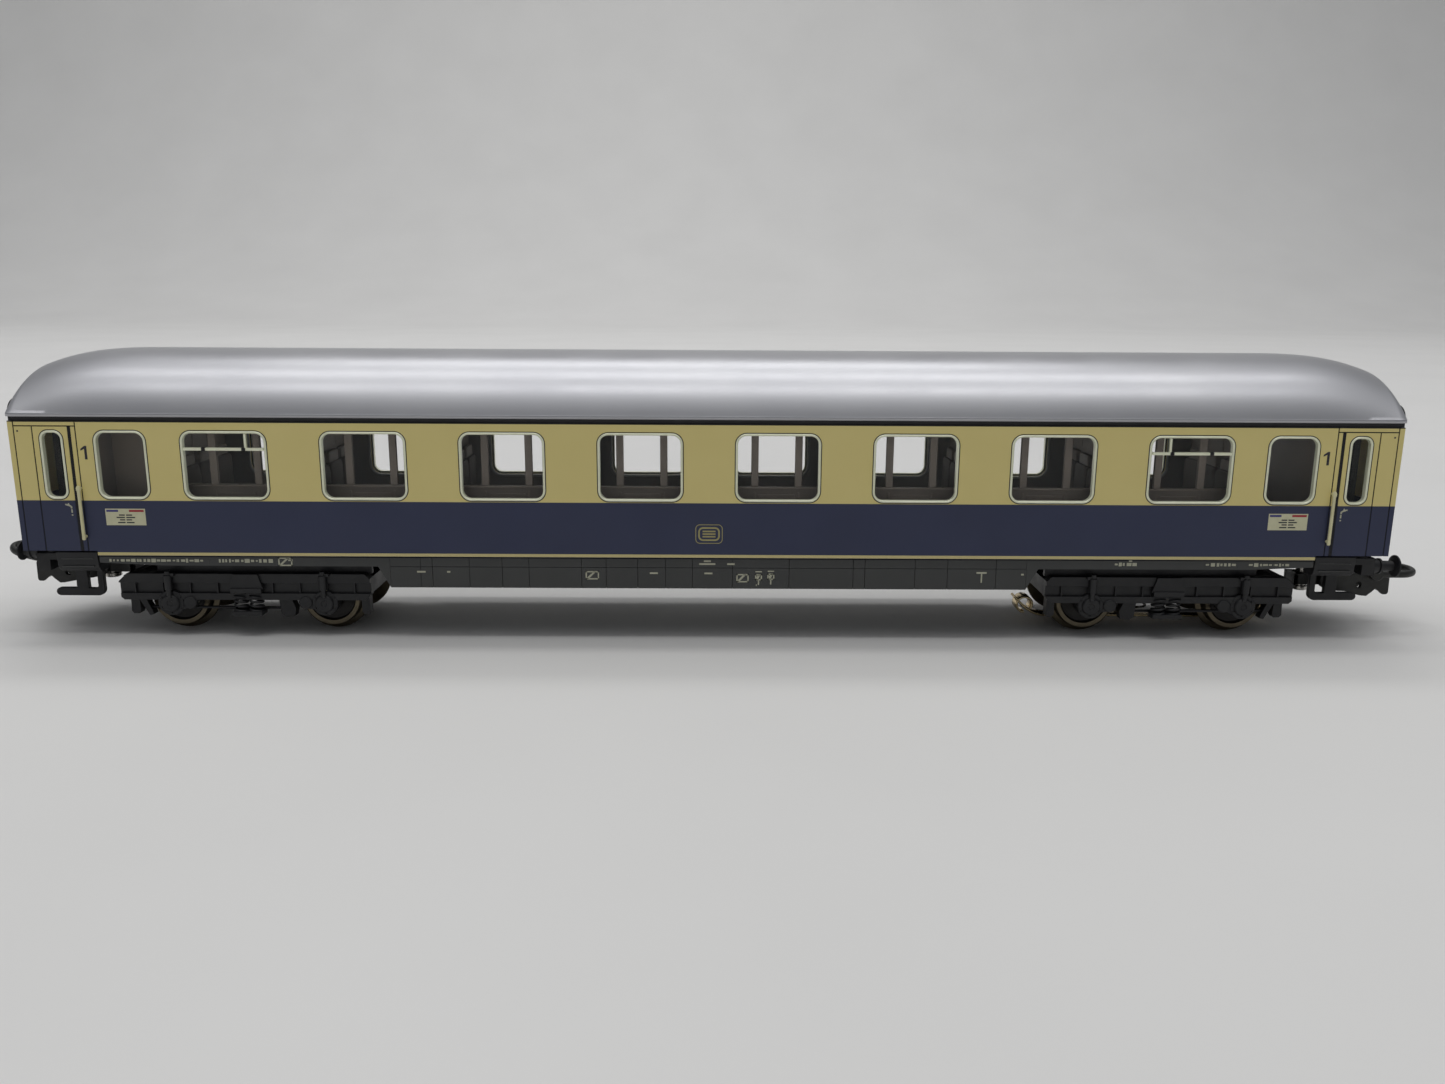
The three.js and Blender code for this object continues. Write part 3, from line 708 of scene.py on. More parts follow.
@dataclass
class Panel:
    """One moulded panel of a side, with its own grooved edges and perhaps one opening.

    Its skin is a set of rings: the rectangle sunk by the groove, the rectangle at the face, the
    opening's soft edge, the opening at the back of the wall, and the rectangle at the back.
    """

    x0: float
    x1: float
    z0: float
    z1: float
    grooves: tuple[float, float, float, float] = (0, 0, 0, 0)
    opening: Opening | None = None
    hairline: float = 0.003
    groove_depth: float = 0.3
    soft_edge: float = 0.12

    def add_to(self, piece: Piece, face_y: float, thickness: float, slot: int = 0) -> None:
        """Adds the closed panel to a piece.

        Args:
            piece: where it goes.
            face_y: the outer face's signed distance from the middle.
            thickness: of the wall.
            slot: finish slot of the outside; the inside takes the next one.
        """
        sign = 1 if face_y > 0 else -1
        low, high = np.array([self.x0, self.z0]), np.array([self.x1, self.z1])
        left, right, foot, head = [max(g, self.hairline) for g in self.grooves]
        inner_low, inner_high = low + [left, foot], high - [right, head]
        if self.opening is None:
            centre = (low + high) / 2
            corners = np.array([[1, 1], [-1, 1], [-1, -1], [1, -1]], float)
            aim = corners * (high - low) / 2
        else:
            centre = self.opening.centre
            aim = self.opening.ring(0) - centre
        aim = aim / np.linalg.norm(aim, axis=1, keepdims=True)
        outer = ray_to_rectangle(aim, centre, low, high)
        face = ray_to_rectangle(aim, centre, inner_low, inner_high)
        deep = np.zeros(len(aim))
        for groove, hit in zip(self.grooves, (
            outer[:, 0] <= low[0] + 1e-6, outer[:, 0] >= high[0] - 1e-6,
            outer[:, 1] <= low[1] + 1e-6, outer[:, 1] >= high[1] - 1e-6,
        )):
            deep = np.where(hit & (groove > 0), self.groove_depth, deep)
        rings = [(outer, deep), (face, 0 * deep)]
        if self.opening is not None:
            rings += [
                (self.opening.ring(self.soft_edge), 0 * deep),
                (self.opening.ring(0), 0 * deep + self.soft_edge),
                (self.opening.ring(0), 0 * deep + thickness),
                (outer, 0 * deep + thickness),
            ]
        else:
            rings = [(outer, 0 * deep + thickness)] + rings
        n = len(aim)
        points = np.vstack([
            np.stack([flat[:, 0], face_y - sign * depth, flat[:, 1]], 1) for flat, depth in rings])
        if self.opening is not None:
            faces = torus_quads(len(rings), n)
            back = range(4 * n, 5 * n)
        else:
            faces = grid_quads(len(rings), n, wrap=True)
            faces += [list(range(n)), list(range((len(rings) - 1) * n, len(rings) * n))]
            back = [len(faces) - 2]
        piece.add(points, faces, slot)
        for k in back:
            piece.slots[k - len(faces)] = slot + 1


# ---------------------------------------------------------------- body


@dataclass
class Windows:
    """Where the windows are: eight wide ones, one narrow at each end, one in each door."""

    pitch: float = 25.25
    wide: float = 15.6
    foot: float = 26.85
    head: float = 39.5
    radius: float = 2.0
    end_x: float = 107.1
    end_width: float = 9.4
    door_x: float = 119.4
    door_width: float = 4.2

    def wide_ones(self) -> list[Opening]:
        """The eight wide windows; the first and last have a vent rail."""
        middles = (np.arange(8) - 3.5) * self.pitch
        return [
            Opening(float(x), self.wide, self.foot, self.head, self.radius,
                    int(np.sign(x)) if abs(x) > 3 * self.pitch else 0)
            for x in middles
        ]

    def narrow(self, end: End) -> Opening:
        """The narrow window beside a door."""
        return Opening(end.value * self.end_x, self.end_width, self.foot, self.head, self.radius)

    def door(self, end: End) -> Opening:
        """The window in a door."""
        return Opening(end.value * self.door_x, self.door_width, self.foot, self.head, 1.6)

    def every(self) -> list[Opening]:
        """All windows of one flank."""
        ends = [pick(end) for end in End for pick in (self.narrow, self.door)]
        return self.wide_ones() + ends


@dataclass
class BodyShell:
    """The painted sides and ends, with window frames, the pale rims inside them as painted
    highlights, door seams darkened with painted shade and handrails.
    """

    windows: Windows = field(default_factory=Windows)
    wall: float = 1.2
    door_low: float = 17.1
    door_edge: float = 113.3
    header: float = 40.28
    seam: float = 0.13
    wide_seam: float = 0.4
    frame_width: float = 0.42
    frame_proud: float = 0.16
    rim_width: float = 0.3
    hinge_x: float = 122.7
    latch_x: float = 116.05
    post_x: float = 114.9
    corner_x: float = 126.0

    def __post_init__(self) -> None:
        """Reads the shell's box from the frame."""
        low, high = node_box("body_shell")
        self.length, self.half, self.low, self.top = high[0], high[1], low[2], high[2]

    def panels(self, end: End) -> list[Panel]:
        """Panels of one half of a side, drawn for the right end and mirrored for the left."""
        w, s, wide = self.windows, self.seam, self.wide_seam
        right = End.RIGHT
        bounds = [0.0, w.pitch, 2 * w.pitch, 3 * w.pitch, 99.6]
        openings = [o for o in w.wide_ones() if o.x > 0]
        found = [
            Panel(a, b, self.low, self.top, opening=o)
            for a, b, o in zip(bounds, bounds[1:], openings)]
        found.append(Panel(99.6, self.door_edge, self.low, self.top, opening=w.narrow(right)))
        post, latch, hinge, corner = self.post_x, self.latch_x, self.hinge_x, self.corner_x
        low, head = self.door_low, self.header
        found.append(Panel(self.door_edge, post, low, self.top, (0, s, 0, 0)))
        found.append(Panel(post, latch, low, head, (s, wide, 0, s)))
        found.append(Panel(latch, hinge, low, head, (wide, s, 0, s), w.door(right)))
        found.append(Panel(hinge, corner, low, head, (s, s, 0, s)))
        found.append(Panel(post, corner, head, self.top, (s, s, s, 0)))
        found.append(Panel(corner, self.length, low, self.top, (s, 0, 0, 0)))
        if end is right:
            return found
        return [self.swapped(p) for p in found]

    @staticmethod
    def swapped(panel: Panel) -> Panel:
        """The same panel on the other half of the side."""
        left, right, foot, head = panel.grooves
        o = panel.opening
        flipped = None if o is None else Opening(-o.x, o.width, o.foot, o.head, o.radius, -o.vented)
        return Panel(-panel.x1, -panel.x0, panel.z0, panel.z1, (right, left, foot, head), flipped)

    def build_shell(self) -> None:
        """Makes the sides and the ends."""
        piece = Piece("body_shell_painted", "coach_body", [Finish.LIVERY, Finish.LINING])
        for side in Side:
            for end in End:
                for panel in self.panels(end):
                    panel.add_to(piece, side.value * self.half, self.wall)
        door_half, sill, lintel = 4.6, self.door_low + 1.5, self.top - 2
        inside = self.half - self.wall
        for end in End:
            a, b = end.value * (self.length - self.wall), end.value * self.length
            for side in Side:
                piece.block((a, side.value * door_half, self.door_low),
                            (b, side.value * inside, self.top))
            piece.block((a, -door_half, lintel), (b, door_half, self.top))
            piece.block((a, -door_half, self.door_low), (b, door_half, sill))
        piece.build(bevel=0.1, replaces=["body_shell"])

    def build_seams(self) -> None:
        """Makes the dark lines of the doors: thin near-black strips of painted shade just below the
        paint in each groove.
        """
        for side in Side:
            piece = Piece(f"door_seams_{side.name.lower()}", "coach_body", [Finish.SEAM])
            depths = [side.value * (self.half - d) for d in (0.7, 0.07)]
            lines = ((self.post_x, 0.11, self.top), (self.latch_x, 0.36, self.header),
                     (self.hinge_x, 0.11, self.header), (self.corner_x, 0.11, self.top))
            for end in End:
                s = end.value
                for x, half, top in lines:
                    piece.block((s * x - half, depths[0], self.door_low + 0.05),
                                (s * x + half, depths[1], top - 0.05))
                piece.block((s * self.post_x, depths[0], self.header - 0.11),
                            (s * self.corner_x, depths[1], self.header + 0.11))
            piece.build(slot="black_plastic")

    def build_frames(self) -> None:
        """Makes the raised foil frames, each ringed in near-black as painted shade for the gap
        round it, one piece for each flank.
        """
        width, proud = self.frame_width, self.frame_proud
        for side in Side:
            y = side.value * self.half
            frames = Piece(f"window_frames_{side.name.lower()}", "coach_body",
                           [Finish.FRAME, Finish.SEAM])
            for opening in self.windows.every():
                # slot 1: a near-black ring at the frame's outer edge, painted shade for the gap
                # round the frame
                self.ring(frames, opening, y, (0.2, -0.04), proud * 0.3, 1)
                self.ring(frames, opening, y, (0.0, -width), proud, 0)
                if opening.vented:
                    self.vent(frames, opening, y)
            frames.build(slot="silver_roof")
            # pale rims inside the windows: a painted highlight for the light caught by the edges of
            # the clear window plugs
            rims = Piece(f"window_rims_{side.name.lower()}", "coach_body",
                         [Finish.RIM, Finish.SEAM])
            for opening in self.windows.every():
                self.rim(rims, opening, side)
            rims.build(slot="interior_plastic")

    def rim(self, piece: Piece, opening: Opening, side: Side) -> None:
        """Adds the pale rim round a window on the inside of the wall, half a torus: a painted
        highlight for the light that the clear window plug's edges catch.

        A point at angle t of its section is grown by rim_width * cos(t) and stands sin(t) inwards.
        """
        t = np.linspace(0, math.pi, 7)
        back = self.half - self.wall
        rings = []
        for grow, reach in zip(self.rim_width * np.cos(t), 0.32 * np.sin(t)):
            flat = opening.ring(float(0.3 + grow))
            y = side.value * (back + 0.06 - float(reach))
            rings.append(np.stack([flat[:, 0], np.full(len(flat), y), flat[:, 1]], 1))
        n = len(rings[0])
        piece.add(np.vstack(rings), torus_quads(len(t), n))

    @staticmethod
    def ring(piece: Piece, opening: Opening, y: float, edges: tuple[float, float], proud: float,
             slot: int) -> None:
        """Adds a frame: rings from the outer edge over a soft top to the inner edge and back."""
        sign = 1 if y > 0 else -1
        outer, inner = edges
        soft = min(0.12, (outer - inner) / 3)
        rows = [(outer, -0.3), (outer, proud - soft), (outer - soft, proud),
                (inner + soft, proud), (inner, proud - soft), (inner, -0.9)]
        rings = []
        for grow, height in rows:
            flat = opening.ring(grow)
            rings.append(
                np.stack([flat[:, 0], np.full(len(flat), y + sign * height), flat[:, 1]], 1))
        n = len(rings[0])
        piece.add(np.vstack(rings), torus_quads(len(rows), n), slot)

    def vent(self, piece: Piece, opening: Opening, y: float) -> None:
        """Adds the vent rail across an end window, its catches and the short upright."""
        sign = 1 if y > 0 else -1
        rail = opening.head - 3.3
        half = opening.width / 2 - 0.5
        depth = (y - sign * 0.5, y + sign * 0.12)
        piece.block((opening.x - half, depth[0], rail - 0.25),
                    (opening.x + half, depth[1], rail + 0.25))
        for quarter in (-0.5, 0.5):
            x = opening.x + quarter * half
            piece.block((x - 0.35, depth[0], rail - 0.3),
                        (x + 0.35, y + sign * 0.18, rail + 0.3), 1)
        x = opening.x - opening.vented * half * 0.55
        piece.block((x - 0.2, depth[0], rail),
                    (x + 0.2, depth[1] - sign * 0.05, opening.head - 0.5))

    def build_end_details(self) -> None:
        """Makes the end doors, tail lamps and grab rails at both ends."""
        for end in End:
            name = end.name.lower()
            s = end.value
            x = s * self.length
            door = Piece(f"end_door_leaf_{name}", "coach_body",
                         [Finish.SKIRT, Finish.SEAM, Finish.FRAME])
            low, high = node_box(f"end_door_{name}")
            face = s * max(abs(low[0]), abs(high[0]))
            back = s * min(abs(low[0]), abs(high[0]))
            for y0, y1, z0, z1 in (
                (low[1], -2.2, low[2], high[2]), (2.2, high[1], low[2], high[2]),
                (-2.2, 2.2, low[2], 29), (-2.2, 2.2, 37, high[2]),
            ):
                door.block((back, y0, z0), (face, y1, z1))
            door.block((face - s * 0.3, -2.3, 28.8), (face - s * 0.2, 2.3, 37.2), 1)
            door.rod((face + s * 0.35, 3.2, 23), (face + s * 0.35, 3.2, 27.5), 0.22, 12, 2)
            door.build(bevel=0.12, replaces=[f"end_door_{name}"])
            trim = Piece(f"end_fittings_{name}", "coach_body",
                         [Finish.LAMP, Finish.HANDRAIL, Finish.BLACK])
            for side in Side:
                y = side.value * 12.9
                lens = [(0, 0), (0.05, 1.05), (0.3, 1.05), (0.42, 0.9), (0.42, 0.75), (0.55, 0.4),
                        (0.6, 0)]
                trim.lathe([(s * a, r) for a, r in lens], "x", (x, y, 20.5), 24, [2, 2, 2, 2, 0, 0])
                rail_y = side.value * 10.8
                trim.rod((x + s * 0.7, rail_y, 20.5), (x + s * 0.7, rail_y, 33), 0.3, 12, 1)
                for z in (20.8, 32.7):
                    trim.rod((x - s * 0.1, rail_y, z), (x + s * 0.7, rail_y, z), 0.24, 10, 1)
            trim.build(slot="handrail_cream")

    def build_handrails(self) -> None:
        """Makes the four upright rails beside the doors, each with a ball head and two feet."""
        for end in End:
            for side in Side:
                node = f"handrail_{end.name.lower()}_{side.name.lower()}"
                low, high = node_box(node)
                x = (low[0] + high[0]) / 2
                y = side.value * (self.half + 0.72)
                wall = side.value * (self.half - 0.05)
                rail = Piece(f"{node}_wire", "coach_body", [Finish.HANDRAIL])
                foot, head = low[2], high[2]
                profile = [(0, 0), (0.05, 0.26), (0.3, 0.34), (0.7, 0.3), (9.1, 0.3), (9.3, 0.4),
                           (9.7, 0.42), (10.05, 0.3), (head - foot, 0)]
                rail.lathe(profile, "z", (x, y, foot), 20)
                for z in (foot + 0.6, head - 0.6):
                    rail.rod((x, wall, z), (x, y, z), 0.28, 12)
                rail.build(replaces=[node])


class Ink(IntEnum):
    """Slots of the printed marks' finishes."""

    PLATE = 0
    BLUE = 1
    RED = 2
    DARK = 3
    GOLD = 4
    PALE = 5


@dataclass
class Marks:
    """Printed marks: class numerals, door handles, plates, a plain badge, small pale shapes."""

    shell: BodyShell
    ink: float = 0.018
    sunk: float = 0.02
    badge_z: float = 20.8
    row_z: float = 15.25
    pen: float = 0.24
    bar_half: float = 0.16

    def slab(self, piece: Piece, side: Side, x0: float, x1: float, z0: float, z1: float, slot: int,
             layer: int = 1, face: float | None = None) -> None:
        """Adds one printed rectangle, a few hundredths of a millimetre proud of its surface."""
        base = self.shell.half if face is None else face
        y = side.value * base
        piece.block((x0, y - side.value * self.sunk, z0),
                    (x1, y + side.value * self.ink * layer, z1), slot)

    def numeral(self, piece: Piece, side: Side, x: float, z: float, slot: int) -> None:
        """Adds the class numeral 1: a stem with a flag, read from outside."""
        d = -side.value
        outline = np.array([[0.28, 0], [0.28, 2.5], [-0.1, 2.5], [-0.85, 1.95], [-0.85, 1.6],
                            [-0.18, 1.95], [-0.18, 0]])
        y = side.value * self.shell.half
        flat = outline * [d, 1] + [x, z]
        piece.plate(flat, y - side.value * self.sunk, y + side.value * self.ink, slot)

    def plate(self, piece: Piece, side: Side, x: float) -> None:
        """Adds a destination plate: pale ground, a blue and a red strip, dark bars for writing."""
        d = -side.value
        self.slab(piece, side, x - 3.65, x + 3.65, 22.0, 25.1, Ink.PLATE)
        self.slab(piece, side, x + d * -3.45, x + d * -1.3, 24.5, 24.9, Ink.BLUE, 2)
        self.slab(piece, side, x + d * 0.7, x + d * 3.4, 24.5, 24.9, Ink.RED, 2)
        rows = ((23.8, 1.2), (23.35, 1.7), (22.9, 1.1), (22.4, 1.5))
        for z, half in rows:
            self.slab(piece, side, x - half, x - 0.15, z, z + 0.22, Ink.DARK, 2)
            self.slab(piece, side, x + 0.1, x + half, z, z + 0.22, Ink.DARK, 2)

    def handle(self, piece: Piece, side: Side, s: int) -> None:
        """Adds the printed door handle: a cranked lever, a keyhole bar and a dot below it."""
        y = side.value * self.shell.half
        y0, y1 = y - side.value * self.sunk, y + side.value * self.ink
        lever = [(117.0, 25.1), (117.25, 25.1), (117.35, 25.45), (118.25, 25.75), (118.25, 25.98),
                 (117.7, 25.9), (117.75, 26.1), (117.55, 26.1), (117.45, 25.8), (117.0, 25.5)]
        piece.plate([(s * x, z) for x, z in lever], y0, y1, Ink.PALE)
        keyhole = s * 117.12
        self.slab(piece, side, keyhole - 0.13, keyhole + 0.13, 24.3, 24.95, Ink.PALE)
        self.slab(piece, side, keyhole - 0.14, keyhole + 0.14, 23.75, 24.0, Ink.PALE)

    def badge(self, piece: Piece, side: Side) -> None:
        """Adds a plain badge: two nested rounded outlines with three level bars."""
        y = side.value * self.shell.half
        path_y = y + side.value * 0.012
        for width, height, line in ((4.9, 3.5, 0.13), (3.7, 2.3, 0.3)):
            flat = rounded_rectangle(width, height, 0.75)
            path = np.stack([flat[:, 0], np.full(len(flat), path_y), flat[:, 1] + self.badge_z], 1)
            half, thick = line / 2, 0.015
            section = np.array([[-half, -thick], [half, -thick], [half, thick], [-half, thick]])
            piece.sweep(section, path, up=(0, 1, 0), closed=True, slot=Ink.GOLD)
        for level in (-0.5, 0, 0.5):
            self.slab(piece, side, -1.2, 1.2, 20.66 + level, 20.94 + level, Ink.GOLD)

    def build(self) -> None:
        """Makes the printed marks of both flanks."""
        inks = [Finish.INK_PLATE, Finish.INK_BLUE, Finish.INK_RED, Finish.INK_DARK, Finish.INK_GOLD,
                Finish.INK_PALE]
        for side in Side:
            piece = Piece(f"printed_marks_{side.name.lower()}", "coach_body", inks)
            for end in End:
                s = end.value
                self.numeral(piece, side, s * 113.45, 34.2, Ink.DARK)
                self.plate(piece, side, s * 107.4)
                self.handle(piece, side, s)
                self.slab(piece, side, s * 125.3 - 0.15, s * 125.3 + 0.15, 39.2, 39.5, Ink.DARK)
            self.badge(piece, side)
            piece.build(slot="handrail_cream")
            self.skirt_marks(side)

    def outline(self, piece: Piece, side: Side, x: float, z: float, half: float, tall: float,
                face: float) -> None:
        """Adds an open printed box with a bar inside it, leaning from corner to corner."""
        line = self.pen
        for edge in (z - tall, z + tall - line):
            self.slab(piece, side, x - half, x + half, edge, edge + line, 0, 1, face)
        for edge in (x - half, x + half - line):
            self.slab(piece, side, edge, edge + line, z - tall, z + tall, 0, 1, face)
        y = side.value * face
        bar = [(x - half, z - tall + 0.1), (x - half + 0.5, z - tall + 0.1),
               (x + half * 0.6, z + tall - 0.1), (x + half * 0.6 - 0.5, z + tall - 0.1)]
        piece.plate(bar, y - side.value * self.sunk, y + side.value * self.ink, 0)

    def skirt_marks(self, side: Side) -> None:
        """Makes the small pale bars and frames along the skirt, in place of lettering."""
        rng = np.random.default_rng(11)
        face = node_box("skirt_near")[0][1] * -1
        piece = Piece(f"skirt_marks_{side.name.lower()}", "coach_body", [Finish.INK_PALE])
        runs = [(-111.5, -94.6), (-91.2, -81.0), (101.2, 108.6), (76.0, 80.2), (93.1, 99.0)]
        for start, stop in runs:
            x = start
            while x < stop:
                wide = float(rng.uniform(0.3, 0.95))
                tall = float(rng.uniform(0.28, 0.75))
                self.slab(piece, side, x, x + wide, self.row_z - tall / 2, self.row_z + tall / 2,
                          0, 1, face)
                x += wide + float(rng.uniform(0.15, 0.4))
        bars = (
            (-53.7, 13.3, 1.6), (-48.6, 13.3, 0.6), (-10.3, 13.2, 1.5), (-0.3, 15.0, 3.0),
            (-0.3, 15.55, 1.3), (-0.1, 13.2, 1.5), (4.1, 15.0, 1.4), (51.1, 13.5, 1.9),
            (58.8, 13.2, 0.5), (-77.9, 15.4, 0.8), (78.9, 15.9, 0.6), (8.9, 10.95, 0.16),
        )
        for x, z, wide in bars:
            self.slab(piece, side, x - wide / 2, x + wide / 2, z - self.bar_half, z + self.bar_half,
                      0, 1, face)
        for x, z, half in ((-78.9, 15.1, 1.3), (-21.8, 12.75, 1.25), (6.3, 12.3, 1.15)):
            self.outline(piece, side, x, z, half, min(half, 0.8), face)
        for x, z in ((9.3, 12.5), (11.6, 12.6)):
            self.outline(piece, side, x, z, 0.65, 0.6, face)
            self.slab(piece, side, x - 0.12, x + 0.12, z - 1.5, z - 0.5, 0, 1, face)
            self.slab(piece, side, x - 0.6, x + 0.6, z + 0.95, z + 1.15, 0, 1, face)
        self.slab(piece, side, 51.0, 51.25, 11.6, 13.4, 0, 1, face)
        piece.build(slot="handrail_cream")


@dataclass
class Roof:
    """The silver roof: an arc over a small bead, drooping and rounded at both ends."""

    drop: float = 3.5
    drop_start: float = 104.0
    edge_radius: float = 1.5
    bead: float = 0.5

    def __post_init__(self) -> None:
        """Reads the roof's box from the frame."""
        low, high = node_box("roof")
        self.length, self.half, self.low, self.top = high[0], high[1], low[2], high[2]

    def surface(self, x: Array, v: Array) -> Array:
        """Points of the roof over a grid.

        Across, v runs from -1 to 1 along an arc whose half width is the roof's and whose crown
        falls with the cube of the distance past drop_start. At the very end the section shrinks
        by a quarter circle of edge_radius.

        Args:
            x: positions along the coach.
            v: positions across it.

        Returns:
            len(x) by len(v) by 3 points.
        """
        past = np.clip((np.abs(x) - self.drop_start) / (self.length - self.drop_start), 0, 1)
        near_end = np.clip(np.abs(x) - (self.length - self.edge_radius), 0, self.edge_radius)
        inset = self.edge_radius - np.sqrt(np.maximum(self.edge_radius ** 2 - near_end ** 2, 0))
        half = (self.half - 0.12 - inset * 0.55)[:, None]
        spring = self.low + self.bead + 0.15
        crown = (self.top - self.drop * past ** 3 - spring - inset)[:, None]
        radius = (half ** 2 + crown ** 2) / (2 * crown)
        reach = np.arcsin(np.clip(half / radius, -1, 1))
        turn = reach * v[None]
        y = radius * np.sin(turn)
        z = spring + crown - radius + radius * np.cos(turn)
        return np.stack([np.broadcast_to(x[:, None], y.shape), y, z], -1)

    def build(self) -> None:
        """Makes the roof shell with its bead and closed ends."""
        tail = smooth_steps(self.length - self.edge_radius, self.length, 9)
        slope = np.linspace(self.drop_start, self.length - self.edge_radius, 22)[:-1]
        side = np.concatenate([slope, tail])
        x = np.concatenate(
            [-side[::-1], np.linspace(-self.drop_start, self.drop_start, 26)[1:-1], side])
        v = np.linspace(-1, 1, 65)
        arc = self.surface(x, v)
        first, last = arc[:, :1], arc[:, -1:]
        foot = self.low + np.array([0.0, self.bead, self.bead + 0.12])
        out = np.array([0.0, 0.0, 0.06])
        near = [self.skirted(first, foot[i], -0.12 + out[i]) for i in range(3)]
        far = [self.skirted(last, foot[i], -0.12 + out[i]) for i in range(3)]
        grid = np.concatenate([*near, arc, *far[::-1]], axis=1)
        rows, cols = grid.shape[:2]
        piece = Piece("roof_shell_silver", "coach_body", [Finish.SILVER])
        ends = [list(range(cols)), list(range((rows - 1) * cols, rows * cols))]
        piece.add(grid.reshape(-1, 3), grid_quads(rows, cols) + ends)
        roof = piece.build(replaces=["roof"])
        wall = roof.modifiers.new("wall", "SOLIDIFY")
        wall.thickness = 0.9 * MM
        wall.offset = -1

    @staticmethod
    def skirted(edge: Array, z: float, inwards: float) -> Array:
        """A copy of the arc's edge at height z, moved towards the middle by some millimetres."""
        moved = edge.copy()
        moved[..., 1] -= np.sign(moved[..., 1]) * inwards
        moved[..., 2] = z
        return moved


# ---------------------------------------------------------------- gangways and buffers


